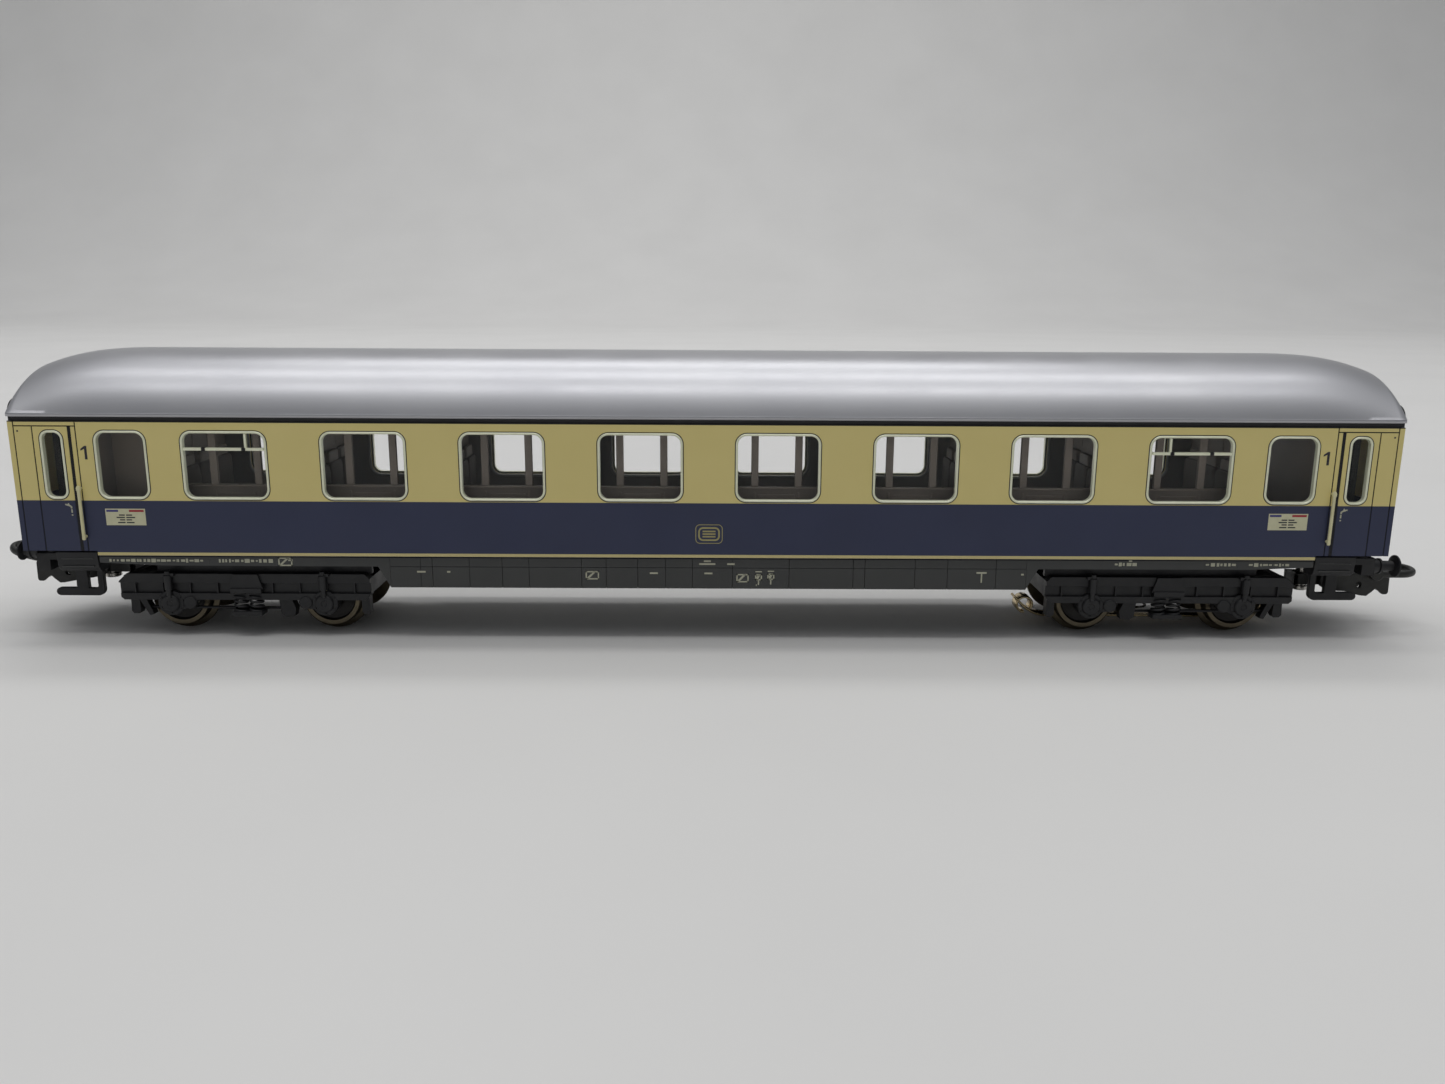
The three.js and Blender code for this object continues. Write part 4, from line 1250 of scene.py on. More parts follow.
@dataclass
class Headstock:
    """What stands at one end: gangway rubber, buffer beam, buffers and door steps."""

    end: End
    notch: float = 5.6
    notch_top: float = 14.6
    hose_y: float = 7.9
    hose_radius: float = 0.32

    def build(self) -> None:
        """Makes all pieces of the end."""
        self.gangway()
        self.buffers()
        self.beam()
        self.steps()

    def gangway(self) -> None:
        """Makes the rubber: a round bulge carried round an upright U, on a plate, over a tread.

        The U at distance g outside its middle line is straight up to the spring line, then a
        quarter circle of radius corner + g, but at least 0.4, and level across the top. The
        bulge's g and depth go as the cosine and sine of an angle, both flattened a little.
        """
        name = f"gangway_rubber_{self.end.name.lower()}"
        s = self.end.value
        low, high = node_box(name)
        inner, outer = sorted((abs(low[0]), abs(high[0])))
        tube, corner, foot = 2.05, 0.8, low[2]
        w, top = high[1] - tube - 0.05, high[2] - tube - 0.05
        t = np.linspace(0, 2 * math.pi, 33)[:-1]
        flat = np.sign(np.cos(t)) * np.abs(np.cos(t)) ** 0.5
        deep = np.sign(np.sin(t)) * np.abs(np.sin(t)) ** 0.5
        rows = [self.upright(w, top, corner, foot, float(tube * g)) for g in flat]
        middle, reach = (inner + outer) / 2, (outer - inner) / 2
        points = np.stack([
            np.stack([np.full(len(row), s * (middle + reach * d)), row[:, 0], row[:, 1]], 1)
            for row, d in zip(rows, deep)])
        n = points.shape[1]
        swapped = points.transpose(1, 0, 2)
        caps = [list(range(32)), list(range((n - 1) * 32, n * 32))]
        piece = Piece(f"{name}_bulge", "coach_body", [Finish.RUBBER, Finish.BLACK, Finish.STEEL])
        piece.add(swapped.reshape(-1, 3), grid_quads(n, 32, wrap=True) + caps)
        for side in Side:
            piece.block((s * (inner - 0.3), side.value * (w - tube + 0.3), foot),
                        (s * (inner + 0.6), side.value * (w + 0.4), top - 1), 1)
        piece.block((s * (inner - 0.3), -w, top - 1.4), (s * (inner + 0.6), w, top + 0.4), 1)
        piece.block((s * (inner - 0.3), -w, foot), (s * (outer - 0.5), w, foot + 0.7), 1)
        for rib in np.linspace(-w + 1.4, w - 1.4, 12):
            piece.block((s * inner, rib - 0.12, foot + 0.7),
                        (s * (outer - 0.7), rib + 0.12, foot + 0.85), 2)
        piece.build(bevel=0.06, replaces=[name])

    @staticmethod
    def upright(w: float, top: float, corner: float, foot: float, grow: float) -> Array:
        """Points in Y and Z of the U, grown outwards by some millimetres, from foot to foot."""
        r = max(corner + grow, 0.4)
        t = np.linspace(math.pi, math.pi / 2, 9)
        x, z = w + grow - r, top + grow - r
        arc = np.stack([-x + r * np.cos(t), z + r * np.sin(t)], 1)
        rise = np.stack([np.full(6, -w - grow), np.linspace(foot, z, 7)[:-1]], 1)
        half = np.concatenate([rise, arc])
        level = np.stack([np.linspace(-x, x, 8)[1:-1], np.full(6, top + grow)], 1)
        return np.concatenate([half, level, (half * [-1, 1])[::-1]])

    def buffers(self) -> None:
        """Makes two turned buffers: socket, collar, plunger and crowned head."""
        s = self.end.value
        for side in Side:
            node = f"buffer_{self.end.name.lower()}_{side.name.lower()}"
            low, high = node_box(node)
            y, z = (low[1] + high[1]) / 2, (low[2] + high[2]) / 2
            root, face = sorted((abs(low[0]), abs(high[0])))
            r = (high[1] - low[1]) / 2
            length = face - root
            profile = [(0, 0), (0, 1.7), (0.3, 1.7), (0.3, 1.45), (1.6, 1.3), (1.7, 1.5),
                       (2.05, 1.5), (2.05, 1.05), (length - 1.0, 0.95), (length - 0.75, r - 0.2),
                       (length - 0.6, r), (length - 0.35, r), (length - 0.18, r * 0.75),
                       (length - 0.05, r * 0.4), (length, 0)]
            head = Piece(f"{node}_turned", "coach_body", [Finish.BLACK])
            head.lathe([(s * a, b) for a, b in profile], "x", (s * root, y, z), 40)
            head.build(replaces=[node])

    def beam(self) -> None:
        """Makes the beam, notched for the coupler, with its edge flanges and two hose stubs."""
        node = f"buffer_beam_{self.end.name.lower()}"
        s = self.end.value
        low, high = node_box(node)
        inner, outer = sorted((abs(low[0]), abs(high[0])))
        half, foot, top = high[1], low[2], high[2]
        piece = Piece(f"{node}_pressed", "coach_body", [Finish.BLACK, Finish.RUBBER])
        for side in Side:
            y0, y1 = side.value * self.notch, side.value * half
            piece.block((s * inner, y0, foot), (s * (outer - 0.3), y1, top))
            for z in (foot, top - 0.4):
                piece.block((s * (outer - 0.3), y0, z), (s * outer, y1, z + 0.4))
            hose = np.array([[outer - 0.2, 14.1], [outer + 0.7, 13.9], [outer + 1.1, 13.2],
                             [outer + 1.1, 12.2], [outer + 0.9, 11.6]])
            path = np.stack([s * hose[:, 0], np.full(5, side.value * self.hose_y), hose[:, 1]], 1)
            t = np.linspace(0, 2 * math.pi, 12, endpoint=False)
            section = self.hose_radius * np.stack([np.cos(t), np.sin(t)], 1)
            piece.sweep(section, path, up=(0, 1, 0), slot=1)
        bridge = self.notch + 0.1
        piece.block((s * inner, -bridge, self.notch_top), (s * (outer - 0.1), bridge, top))
        piece.build(bevel=0.08, replaces=[node])

    def steps(self) -> None:
        """Makes the boxed steps: an L face over a half-round drum, with two treads."""
        for side in Side:
            node = f"door_step_{self.end.name.lower()}_{side.name.lower()}"
            low, high = node_box(node)
            t = np.linspace(-math.pi / 2, 0.2, 9)
            drum = np.stack([13.9 + 1.75 * np.cos(t), 14.55 + 1.75 * np.sin(t)], 1)
            outline = np.array(
                [[14.8, 16.75], [14.8, 14.7], [11.6, 14.7], [11.6, 13.3], [12.2, 12.8]])
            flat = np.concatenate([outline, drum, [[15.75, 15.6], [15.75, 16.75]]])
            piece = Piece(f"{node}_box", "coach_body", [Finish.BLACK, Finish.SKIRT])
            piece.bar(flat * [side.value, 1], low[0], high[0])
            middle = (low[0] + high[0]) / 2
            for z in (13.9, 15.4):
                piece.block((middle - 3.0, side.value * 15.2, z),
                            (middle + 3.0, side.value * 15.86, z + 0.22), 1)
            piece.build(bevel=0.1, replaces=[node])


# ---------------------------------------------------------------- under the floor


@dataclass
class Underframe:
    """Skirts and equipment boxes.

    seams are the upright joints of the deep part, rail is the height of its level joint.
    """

    seams: tuple[float, ...] = (-53.8, -51.6, -44.7, -38.6, -33.6, -23.8, -19.2, -13.3, -8.1, -3.1,
                                4.4, 15.0, 27.0, 29.2, 38.6, 44.7, 53.8)
    deep_end: float = 59.5
    rail: float = 14.25
    slope: float = 2.2
    wall: float = 0.9
    joint: float = 0.05
    lug_xs: tuple[float, ...] = (66.0, 73.5, 81.0, 93.0, 99.0, 106.0)

    def build(self) -> None:
        """Makes the skirts and the equipment."""
        for side in Side:
            self.skirt(side)
        self.equipment()

    def skirt(self, side: Side) -> None:
        """Makes one apron from grooved panels, with sloping ends to its deep part."""
        node = f"skirt_{side.name.lower()}"
        low, high = node_box(node)
        face = side.value * max(abs(low[1]), abs(high[1]))
        deep, top, end = low[2], high[2], high[0]
        deep_end, fine = self.deep_end, self.joint
        inner = face - side.value * self.wall
        piece = Piece(f"{node}_panels", "coach_body", [Finish.SKIRT])
        cuts = (-deep_end, *self.seams, deep_end)
        for a, b in zip(cuts, cuts[1:]):
            Panel(a, b, deep, self.rail, (fine, fine, 0, fine)).add_to(piece, face, self.wall)
            Panel(a, b, self.rail, top, (fine, fine, fine, 0)).add_to(piece, face, self.wall)
        for s in (-1, 1):
            wedge = [(s * deep_end, deep), (s * (deep_end + self.slope), self.rail),
                     (s * deep_end, self.rail)]
            piece.plate(wedge, face, inner)
            upper = [(s * deep_end, self.rail), (s * 61.7, self.rail),
                     (s * 101.7, self.rail + 0.05), (s * end, self.rail + 0.55), (s * end, top),
                     (s * deep_end, top)]
            piece.plate(upper, face, inner)
            for x in self.lug_xs:
                piece.block((s * x - 0.05, face - side.value * 0.05, self.rail + 0.35),
                            (s * x + 0.05, face + side.value * 0.03, top))
        piece.build(replaces=[node])

    def equipment(self) -> None:
        """Makes the boxes between the aprons, with lids, louvres, straps and air tanks."""
        low, high = node_box("underfloor_equipment")
        foot, top = low[2], high[2]
        piece = Piece("underfloor_equipment_boxes", "coach_body",
                      [Finish.BLACK, Finish.SKIRT, Finish.STEEL])
        piece.block((-54, -5, 13.4), (54, 5, top))
        boxes = ((-52, -26, 13.8, foot), (-20, 8, 13.4, foot + 0.4), (14, 34, 13.8, foot))
        for x0, x1, half, z0 in boxes:
            piece.block((x0, -half, z0 + 0.25), (x1, half, top - 0.4))
            count = int((x1 - x0) // 6)
            for i in range(count):
                a = x0 + (x1 - x0) * i / count + 0.4
                b = x0 + (x1 - x0) * (i + 1) / count - 0.4
                piece.block((a, -half + 0.6, z0), (b, -0.5, z0 + 0.4), 1)
                piece.block((a, 0.5, z0), (b, half - 0.6, z0 + 0.4), 1)
        for y in (-8, 8):
            tank = [(38, 0), (38, 1.6), (38.5, 2.2), (40, 2.3), (50, 2.3), (51.5, 2.2), (52, 1.6),
                    (52, 0)]
            piece.lathe(tank, "x", (0, y, 12.4), 28)
            for x in (41.5, 48.5):
                piece.lathe([(x, 0), (x, 2.42), (x + 0.8, 2.42), (x + 0.8, 0)],
                            "x", (0, y, 12.4), 28, 2)
        piece.block((44, -9, 12.4), (46, 9, 14.4))
        piece.build(bevel=0.1, replaces=["underfloor_equipment"])


# ---------------------------------------------------------------- interior


@dataclass
class Interior:
    """Compartments on the far side and a corridor with its wall on the near side."""

    pitch: float = 25.25
    wall_y: float = -11.2
    sill: float = 28.9
    head: float = 40.2
    post: float = 1.35
    door_half: float = 4.1
    wall_top: float = 39.8
    vestibule_x: float = 114.0
    seats_abreast: int = 3

    def build(self) -> None:
        """Makes the compartments, the corridor wall and the light bar."""
        self.compartments()
        self.corridor()
        self.ceiling()

    def cushion(self, piece: Piece, low: Sequence[float], high: Sequence[float], slot: int) -> None:
        """Adds a seat part as a superellipse block: corners rounded on a grid of two angles."""
        lo, hi = np.minimum(low, high), np.maximum(low, high)
        u = np.linspace(-math.pi / 2, math.pi / 2, 9)
        w = np.linspace(0, 2 * math.pi, 25)[:-1]

        def soft(value: Array) -> Array:
            """Raises a sine or cosine to a small power, keeping its sign."""
            return np.sign(value) * np.abs(value) ** 0.3

        ring = np.stack([
            soft(np.cos(u))[:, None] * soft(np.cos(w))[None],
            soft(np.cos(u))[:, None] * soft(np.sin(w))[None],
            np.broadcast_to(soft(np.sin(u))[:, None], (9, 24)),
        ], -1)
        points = (lo + hi) / 2 + ring * (hi - lo) / 2
        piece.add(points.reshape(-1, 3), grid_quads(9, 24, wrap=True), slot)

    def compartments(self) -> None:
        """Makes the floor, cross walls with pale panels, seats and headrests."""
        low, high = node_box("interior_insert")
        floor = low[2] + 1.0
        wide = high[1]
        start = self.wall_y + 0.6
        piece = Piece("compartment_moulding", "coach_body",
                      [Finish.INTERIOR, Finish.PARTITION, Finish.SEAT])
        piece.block((low[0], -wide, low[2]), (high[0], wide, floor))
        for i in range(9):
            x = (i - 4) * self.pitch
            piece.block((x - 0.4, start, floor), (x + 0.4, wide, self.wall_top))
            for s in (-1, 1):
                if abs(x + s) > 4 * self.pitch:
                    continue
                room = wide - start - 1.6
                for k in range(self.seats_abreast):
                    y0 = start + 1.0 + k * room / self.seats_abreast
                    y1 = y0 + room / self.seats_abreast - 0.35
                    self.cushion(piece, (x + s * 0.5, y0, floor + 2.2), (x + s * 5.8, y1, 22.4), 2)
                    self.cushion(piece, (x + s * 0.4, y0, 22.6), (x + s * 2.1, y1, 31.6), 2)
                    self.cushion(piece, (x + s * 0.4, y0 + 0.8, 30.6),
                                 (x + s * 1.5, y1 - 0.8, 33.6), 1)
                    piece.block((x + s * 0.4, y0 + 0.5, 34.4), (x + s * 0.52, y1 - 0.5, 37.6), 1)
        for end in End:
            x = end.value * self.vestibule_x
            piece.block((x - 0.5, -wide, floor), (x + 0.5, wide, self.wall_top))
            piece.block((end.value * 101.2, start, floor), (end.value * 102.0, wide, self.wall_top))
        piece.block((-112.5, start + 2, floor), (-104.0, start + 2.6, self.wall_top), 1)
        piece.build(bevel=0.12, replaces=["interior_insert"])

    def corridor(self) -> None:
        """Makes the corridor wall: low panels, door frames opposite the windows and a top rail."""
        low, high = node_box("corridor_wall")
        y0, y1 = self.wall_y - 0.42, self.wall_y + 0.42
        piece = Piece("corridor_wall_frames", "coach_body", [Finish.INTERIOR, Finish.PARTITION])
        piece.block((low[0], y0, low[2]), (high[0], y1, self.sill))
        piece.block((low[0], y0, self.head - 0.9), (high[0], y1, self.head))
        piece.block((low[0], y0 - 0.5, self.sill - 0.3), (high[0], y1, self.sill), 1)
        for i in range(8):
            x = (i - 3.5) * self.pitch
            for s in (-self.door_half, self.door_half):
                piece.block((x + s - self.post / 2, y0, self.sill - 0.2),
                            (x + s + self.post / 2, y1, self.head))
                piece.block((x + s - 0.2, y0 - 0.12, 19.5),
                            (x + s + 0.2, y0 + 0.1, self.sill - 1), 1)
            piece.block((x - 3.4, y0 - 0.1, 20.5), (x + 3.4, y0 + 0.1, self.sill - 1.4), 1)
        piece.build(bevel=0.08, replaces=["corridor_wall"])

    def ceiling(self) -> None:
        """Makes the light bar: a half-round strip under a flat top, in one moulding."""
        low, high = node_box("light_bar")
        t = np.linspace(0, math.pi, 15)
        half = high[1]
        arc = np.stack([half * np.cos(t), low[2] + 0.9 - 0.85 * np.sin(t)], 1)
        outline = np.concatenate([arc, [[-half, high[2]], [half, high[2]]]])
        strip = Piece("light_bar_strip", "coach_body", [Finish.CEILING])
        strip.bar(outline, low[0], high[0]).build(replaces=["light_bar"])


# ---------------------------------------------------------------- bogies


@dataclass
class Bogie:
    """One bogie, drawn with the coach's middle on its +X side."""

    end: End
    half_base: float = 14.5
    axle: float = 6.6
    outer: float = -24.1
    inner: float = 23.2
    side_in: float = 11.7
    side_out: float = 14.0
    leaf_half: float = 25.6
    leaf_foot: float = 1.2
    curl_x: float = 23.6
    curl_radius: float = 1.55

    def __post_init__(self) -> None:
        """Finds the pivot from the frame's joint box."""
        low, high = node_box(f"kingpin_{self.end.name.lower()}")
        self.place = Place(float(low[0] + high[0]) / 2, -self.end.value)
        self.label = self.end.name.lower()

    def build(self) -> None:
        """Makes the frame, its wheelsets and, on the right, the contact shoe."""
        self.frame()
        for tag, x in (("outer", -self.half_base), ("inner", self.half_base)):
            self.wheelset(tag, x)
        self.kingpin()
        if self.end is End.RIGHT:
            self.shoe()

    def frame(self) -> None:
        """Makes both side frames, the bolster, the end beams and the top plate."""
        frame = Piece(f"bogie_frame_{self.label}_cast", f"bogie_{self.label}",
                      [Finish.BOGIE, Finish.STEEL])
        self.side_frame(frame)
        frame.mirrored(1)
        frame.block((self.outer + 6.8, -11.7, 13.5), (self.inner, 11.7, 14.15))
        for x in (-5.5, 2.1):
            frame.block((x, -12, 9.3), (x + 3.4, 12, 13.7))
        for y in (-12.0, 2.1):
            frame.block((-2.3, y, 9.3), (2.3, y + 9.9, 13.7))
        for x in (self.outer, self.inner - 1.5):
            frame.block((x, -12, 8.3), (x + 1.5, 12, 11.4))
        frame.turned(self.place).build(bevel=0.14, replaces=[f"bogie_frame_{self.label}"])

    def side_frame(self, p: Piece) -> None:
        """Adds the far side frame: flanged beam, axle boxes, dampers, springs and brake gear."""
        o, i, y0, y1 = self.outer, self.inner, self.side_in, self.side_out
        beam = [(o, 7.9), (o + 0.9, 7.2), (i - 1, 7.2), (i, 8.2), (i, 11.4), (i - 0.9, 12.3),
                (o + 1.7, 12.3), (o, 10.7)]
        p.plate(beam, y0, y1 - 0.55)
        top = [(o + 0.1, 10.5), (i, 10.5), (i, 11.4), (i - 0.9, 12.3), (o + 1.7, 12.3),
               (o + 0.1, 10.8)]
        p.plate(top, y1 - 0.6, y1 + 0.15)
        flange = [(o + 0.3, 7.7), (o + 0.9, 7.2), (i - 1, 7.2), (i - 0.1, 8.1), (i - 0.1, 8.5),
                  (o + 0.3, 8.5)]
        p.plate(flange, y1 - 0.6, y1 + 0.15)
        p.block((o + 6.8, 11.3, 12), (i, 12.4, 14.15))
        for x in np.linspace(o + 3, i - 3, 9):
            p.block((x - 0.15, y1 - 0.6, 8.4), (x + 0.15, y1 - 0.05, 10.6))
        for s in (-1, 1):
            x = s * self.half_base
            self.axle_box(p, x, s)
            self.damper(p, x, y1 + 0.55)
        for x in (-1.45, 1.45):
            self.coil(p, x, 13.5, 5.0, 8.9, 1.15)
        p.block((-2.8, 12.2, 4.3), (2.8, 14.9, 5.1))
        p.block((-2.9, 12.1, 8.7), (2.9, 14.9, 9.6))
        p.plate([(-3.2, 9.4), (3.2, 9.4), (2.3, 12.3), (-2.3, 12.3)], y1 - 0.3, y1 + 0.6)
        leaning_iron = [(-21.6, 7.6), (-19.9, 4.4), (-19.5, 3.7), (-18.7, 3.9), (-18.9, 4.6),
                        (-20.2, 7.6)]
        upright_iron = [(-22.9, 7.6), (-23.0, 4.5), (-22.6, 4.0), (-21.5, 4.0), (-21.2, 4.6),
                        (-21.3, 7.6)]
        p.plate(leaning_iron, 10.8, 12.6)
        p.plate(upright_iron, 10.6, 12.4)
        brake_block = [(5.3, 7.6), (5.6, 4.2), (6.4, 3.5), (8.2, 3.7), (8.5, 5.2), (7.6, 7.6)]
        p.plate(brake_block, 10.8, 12.8)
        p.plate([(21.1, 7.6), (21.1, 4.6), (21.7, 4.1), (22.6, 4.3), (22.6, 7.6)], 10.9, 13)
        p.rod((-20, 11.7, 5.2), (6.5, 11.7, 5.0), 0.3, 10)

    def axle_box(self, p: Piece, x: float, s: int) -> None:
        """Adds an axle box: stepped round cover with bolts, and a swing arm to its pivot boss."""
        z, y = self.axle, self.side_out
        cover = [(-2.2, 0), (-2.2, 2.45), (0.1, 2.45), (0.25, 2.3), (0.25, 1.75), (0.6, 1.65),
                 (0.75, 1.5), (0.75, 0.6), (0.6, 0.5), (0.6, 0)]
        p.lathe(cover, "y", (x, y, z), 36)
        for k in range(6):
            a = math.radians(60 * k + 30)
            bolt = [(0.2, 0), (0.2, 0.22), (0.42, 0.2), (0.42, 0)]
            p.lathe(bolt, "y", (x + 2.02 * math.cos(a), y, z + 2.02 * math.sin(a)), 6)
        arm_x = x - s * 3.6
        t = np.linspace(0, 2 * math.pi, 24, endpoint=False)
        hub = np.where(np.cos(t) * -s > 0, 1.35, 1.6)
        flat = np.stack([x - s * 1.8 + np.cos(t) * 3.1, z + 0.1 + np.sin(t) * hub], 1)
        p.plate(flat, y - 1.2, y + 0.1)
        p.lathe([(-1.5, 0), (-1.5, 1.25), (0.3, 1.25), (0.45, 1.05), (0.45, 0.5), (0.35, 0)], "y",
                (arm_x, y, z + 0.1), 24)

    def damper(self, p: Piece, x: float, y: float) -> None:
        """Adds an upright damper: two telescoping tubes under a top bracket."""
        tube = [(7.7, 0), (7.7, 0.55), (8.0, 0.6), (8.0, 0.5), (9.3, 0.5), (9.3, 0.72),
                (12.1, 0.72), (12.2, 0.5), (12.9, 0.5), (12.9, 0)]
        p.lathe(tube, "z", (x, y, 0), 20)
        p.block((x - 1.2, y - 1.0, 11.9), (x + 1.2, y + 0.25, 12.5))

    @staticmethod
    def coil(p: Piece, x: float, y: float, z0: float, z1: float, radius: float) -> None:
        """Adds a coil spring: round wire along a helix of four and a half turns."""
        t = np.linspace(0, 2 * math.pi * 4.5, 100)
        path = np.stack(
            [x + radius * np.cos(t), y + radius * np.sin(t), z0 + (z1 - z0) * t / t[-1]], 1)
        a = np.linspace(0, 2 * math.pi, 8, endpoint=False)
        p.sweep(0.24 * np.stack([np.cos(a), np.sin(a)], 1), path)

    def wheelset(self, tag: str, x: float) -> None:
        """Makes one wheelset: bright turned tyres, dark dished discs, axle with pointed ends."""
        node = f"wheelset_{self.label}_{tag}"
        half = [(12.6, 0), (11.7, 0.9), (10.25, 0.95), (10.2, 1.6), (9.9, 1.9), (9.75, 2.0),
                (9.35, 2.3), (9.25, 3.6), (9.35, 4.25), (9.75, 4.45), (9.98, 4.55), (10.0, 4.7),
                (10.0, 5.3), (9.9, 5.38), (8.3, 5.46), (8.05, 5.6), (7.9, 6.1), (7.75, 6.5),
                (7.5, 6.6), (7.28, 6.5), (7.2, 6.2), (7.2, 4.6), (7.7, 4.4), (7.75, 2.2),
                (7.1, 2.0), (7.0, 1.1), (6.6, 1.0)]
        profile = half + [(-a, r) for a, r in reversed(half)]
        tyre, disc, steel = 0, 1, 2
        kinds = [steel] * 3 + [disc] * 7 + [tyre] * 11 + [disc] * 4 + [steel]
        bands = kinds + [steel] + kinds[::-1]
        piece = Piece(f"{node}_turned", f"wheels_{self.label}_{tag}",
                      [Finish.TYRE, Finish.DISC, Finish.STEEL])
        piece.lathe(profile, "y", (x, 0, self.axle), 72, bands)
        piece.turned(self.place).build(replaces=[node])

    def kingpin(self) -> None:
        """Makes the shouldered kingpin with its slotted head."""
        node = f"kingpin_{self.label}"
        profile = [(8.1, 0), (8.1, 2.3), (8.3, 2.65), (8.9, 2.65), (9.0, 2.5), (9.0, 1.3),
                   (16.1, 1.3), (16.1, 0)]
        piece = Piece(f"{node}_screw", "coach_body", [Finish.STEEL, Finish.SEAM])
        piece.lathe(profile, "z", (0, 0, 0), 36)
        piece.block((-2.2, -0.25, 8.06), (2.2, 0.25, 8.2), 1)
        piece.turned(self.place).build(replaces=[node])

    def shoe(self) -> None:
        """Makes the contact shoe, a spring leaf with both ends curved up and rolled, and its coil.

        The leaf rises with the square of the distance past its bend; each roll is most of a circle.
        """
        bend, rise = 19.5, 3.7
        x = np.linspace(-1, 1, 61) * self.leaf_half
        past = np.clip((np.abs(x) - bend) / (self.leaf_half - bend), 0, 1)
        path = np.stack([x, np.zeros(61), self.leaf_foot + rise * past ** 2], 1)
        section = rounded_rectangle(3.2, 0.5, 0.2, 3)
        shoe = Piece("pickup_shoe_leaf", "shoe", [Finish.BRONZE, Finish.BLACK])
        shoe.sweep(section, path)
        t = np.linspace(-math.pi / 2, 1.2 * math.pi, 25)
        for end in (-1, 1):
            roll = np.stack([end * (self.curl_x + self.curl_radius * np.cos(t)), 0 * t,
                             3.35 + self.curl_radius * np.sin(t)], 1)
            shoe.sweep(section[:, ::-1], roll, up=(0, 1, 0))
        for s in (-4.2, 4.2):
            shoe.block((s - 0.35, -1.2, self.leaf_foot), (s + 0.35, 1.2, 8.6), 1)
        shoe.turned(self.place).build(bevel=0.06, replaces=["pickup_shoe"])
        spring = Piece("pickup_spring_coil", "bogie_right", [Finish.STEEL])
        self.coil(spring, 0, 0, 2.6, 7.6, 1.25)
        spring.turned(self.place).build(replaces=["pickup_spring"])


# ---------------------------------------------------------------- couplers


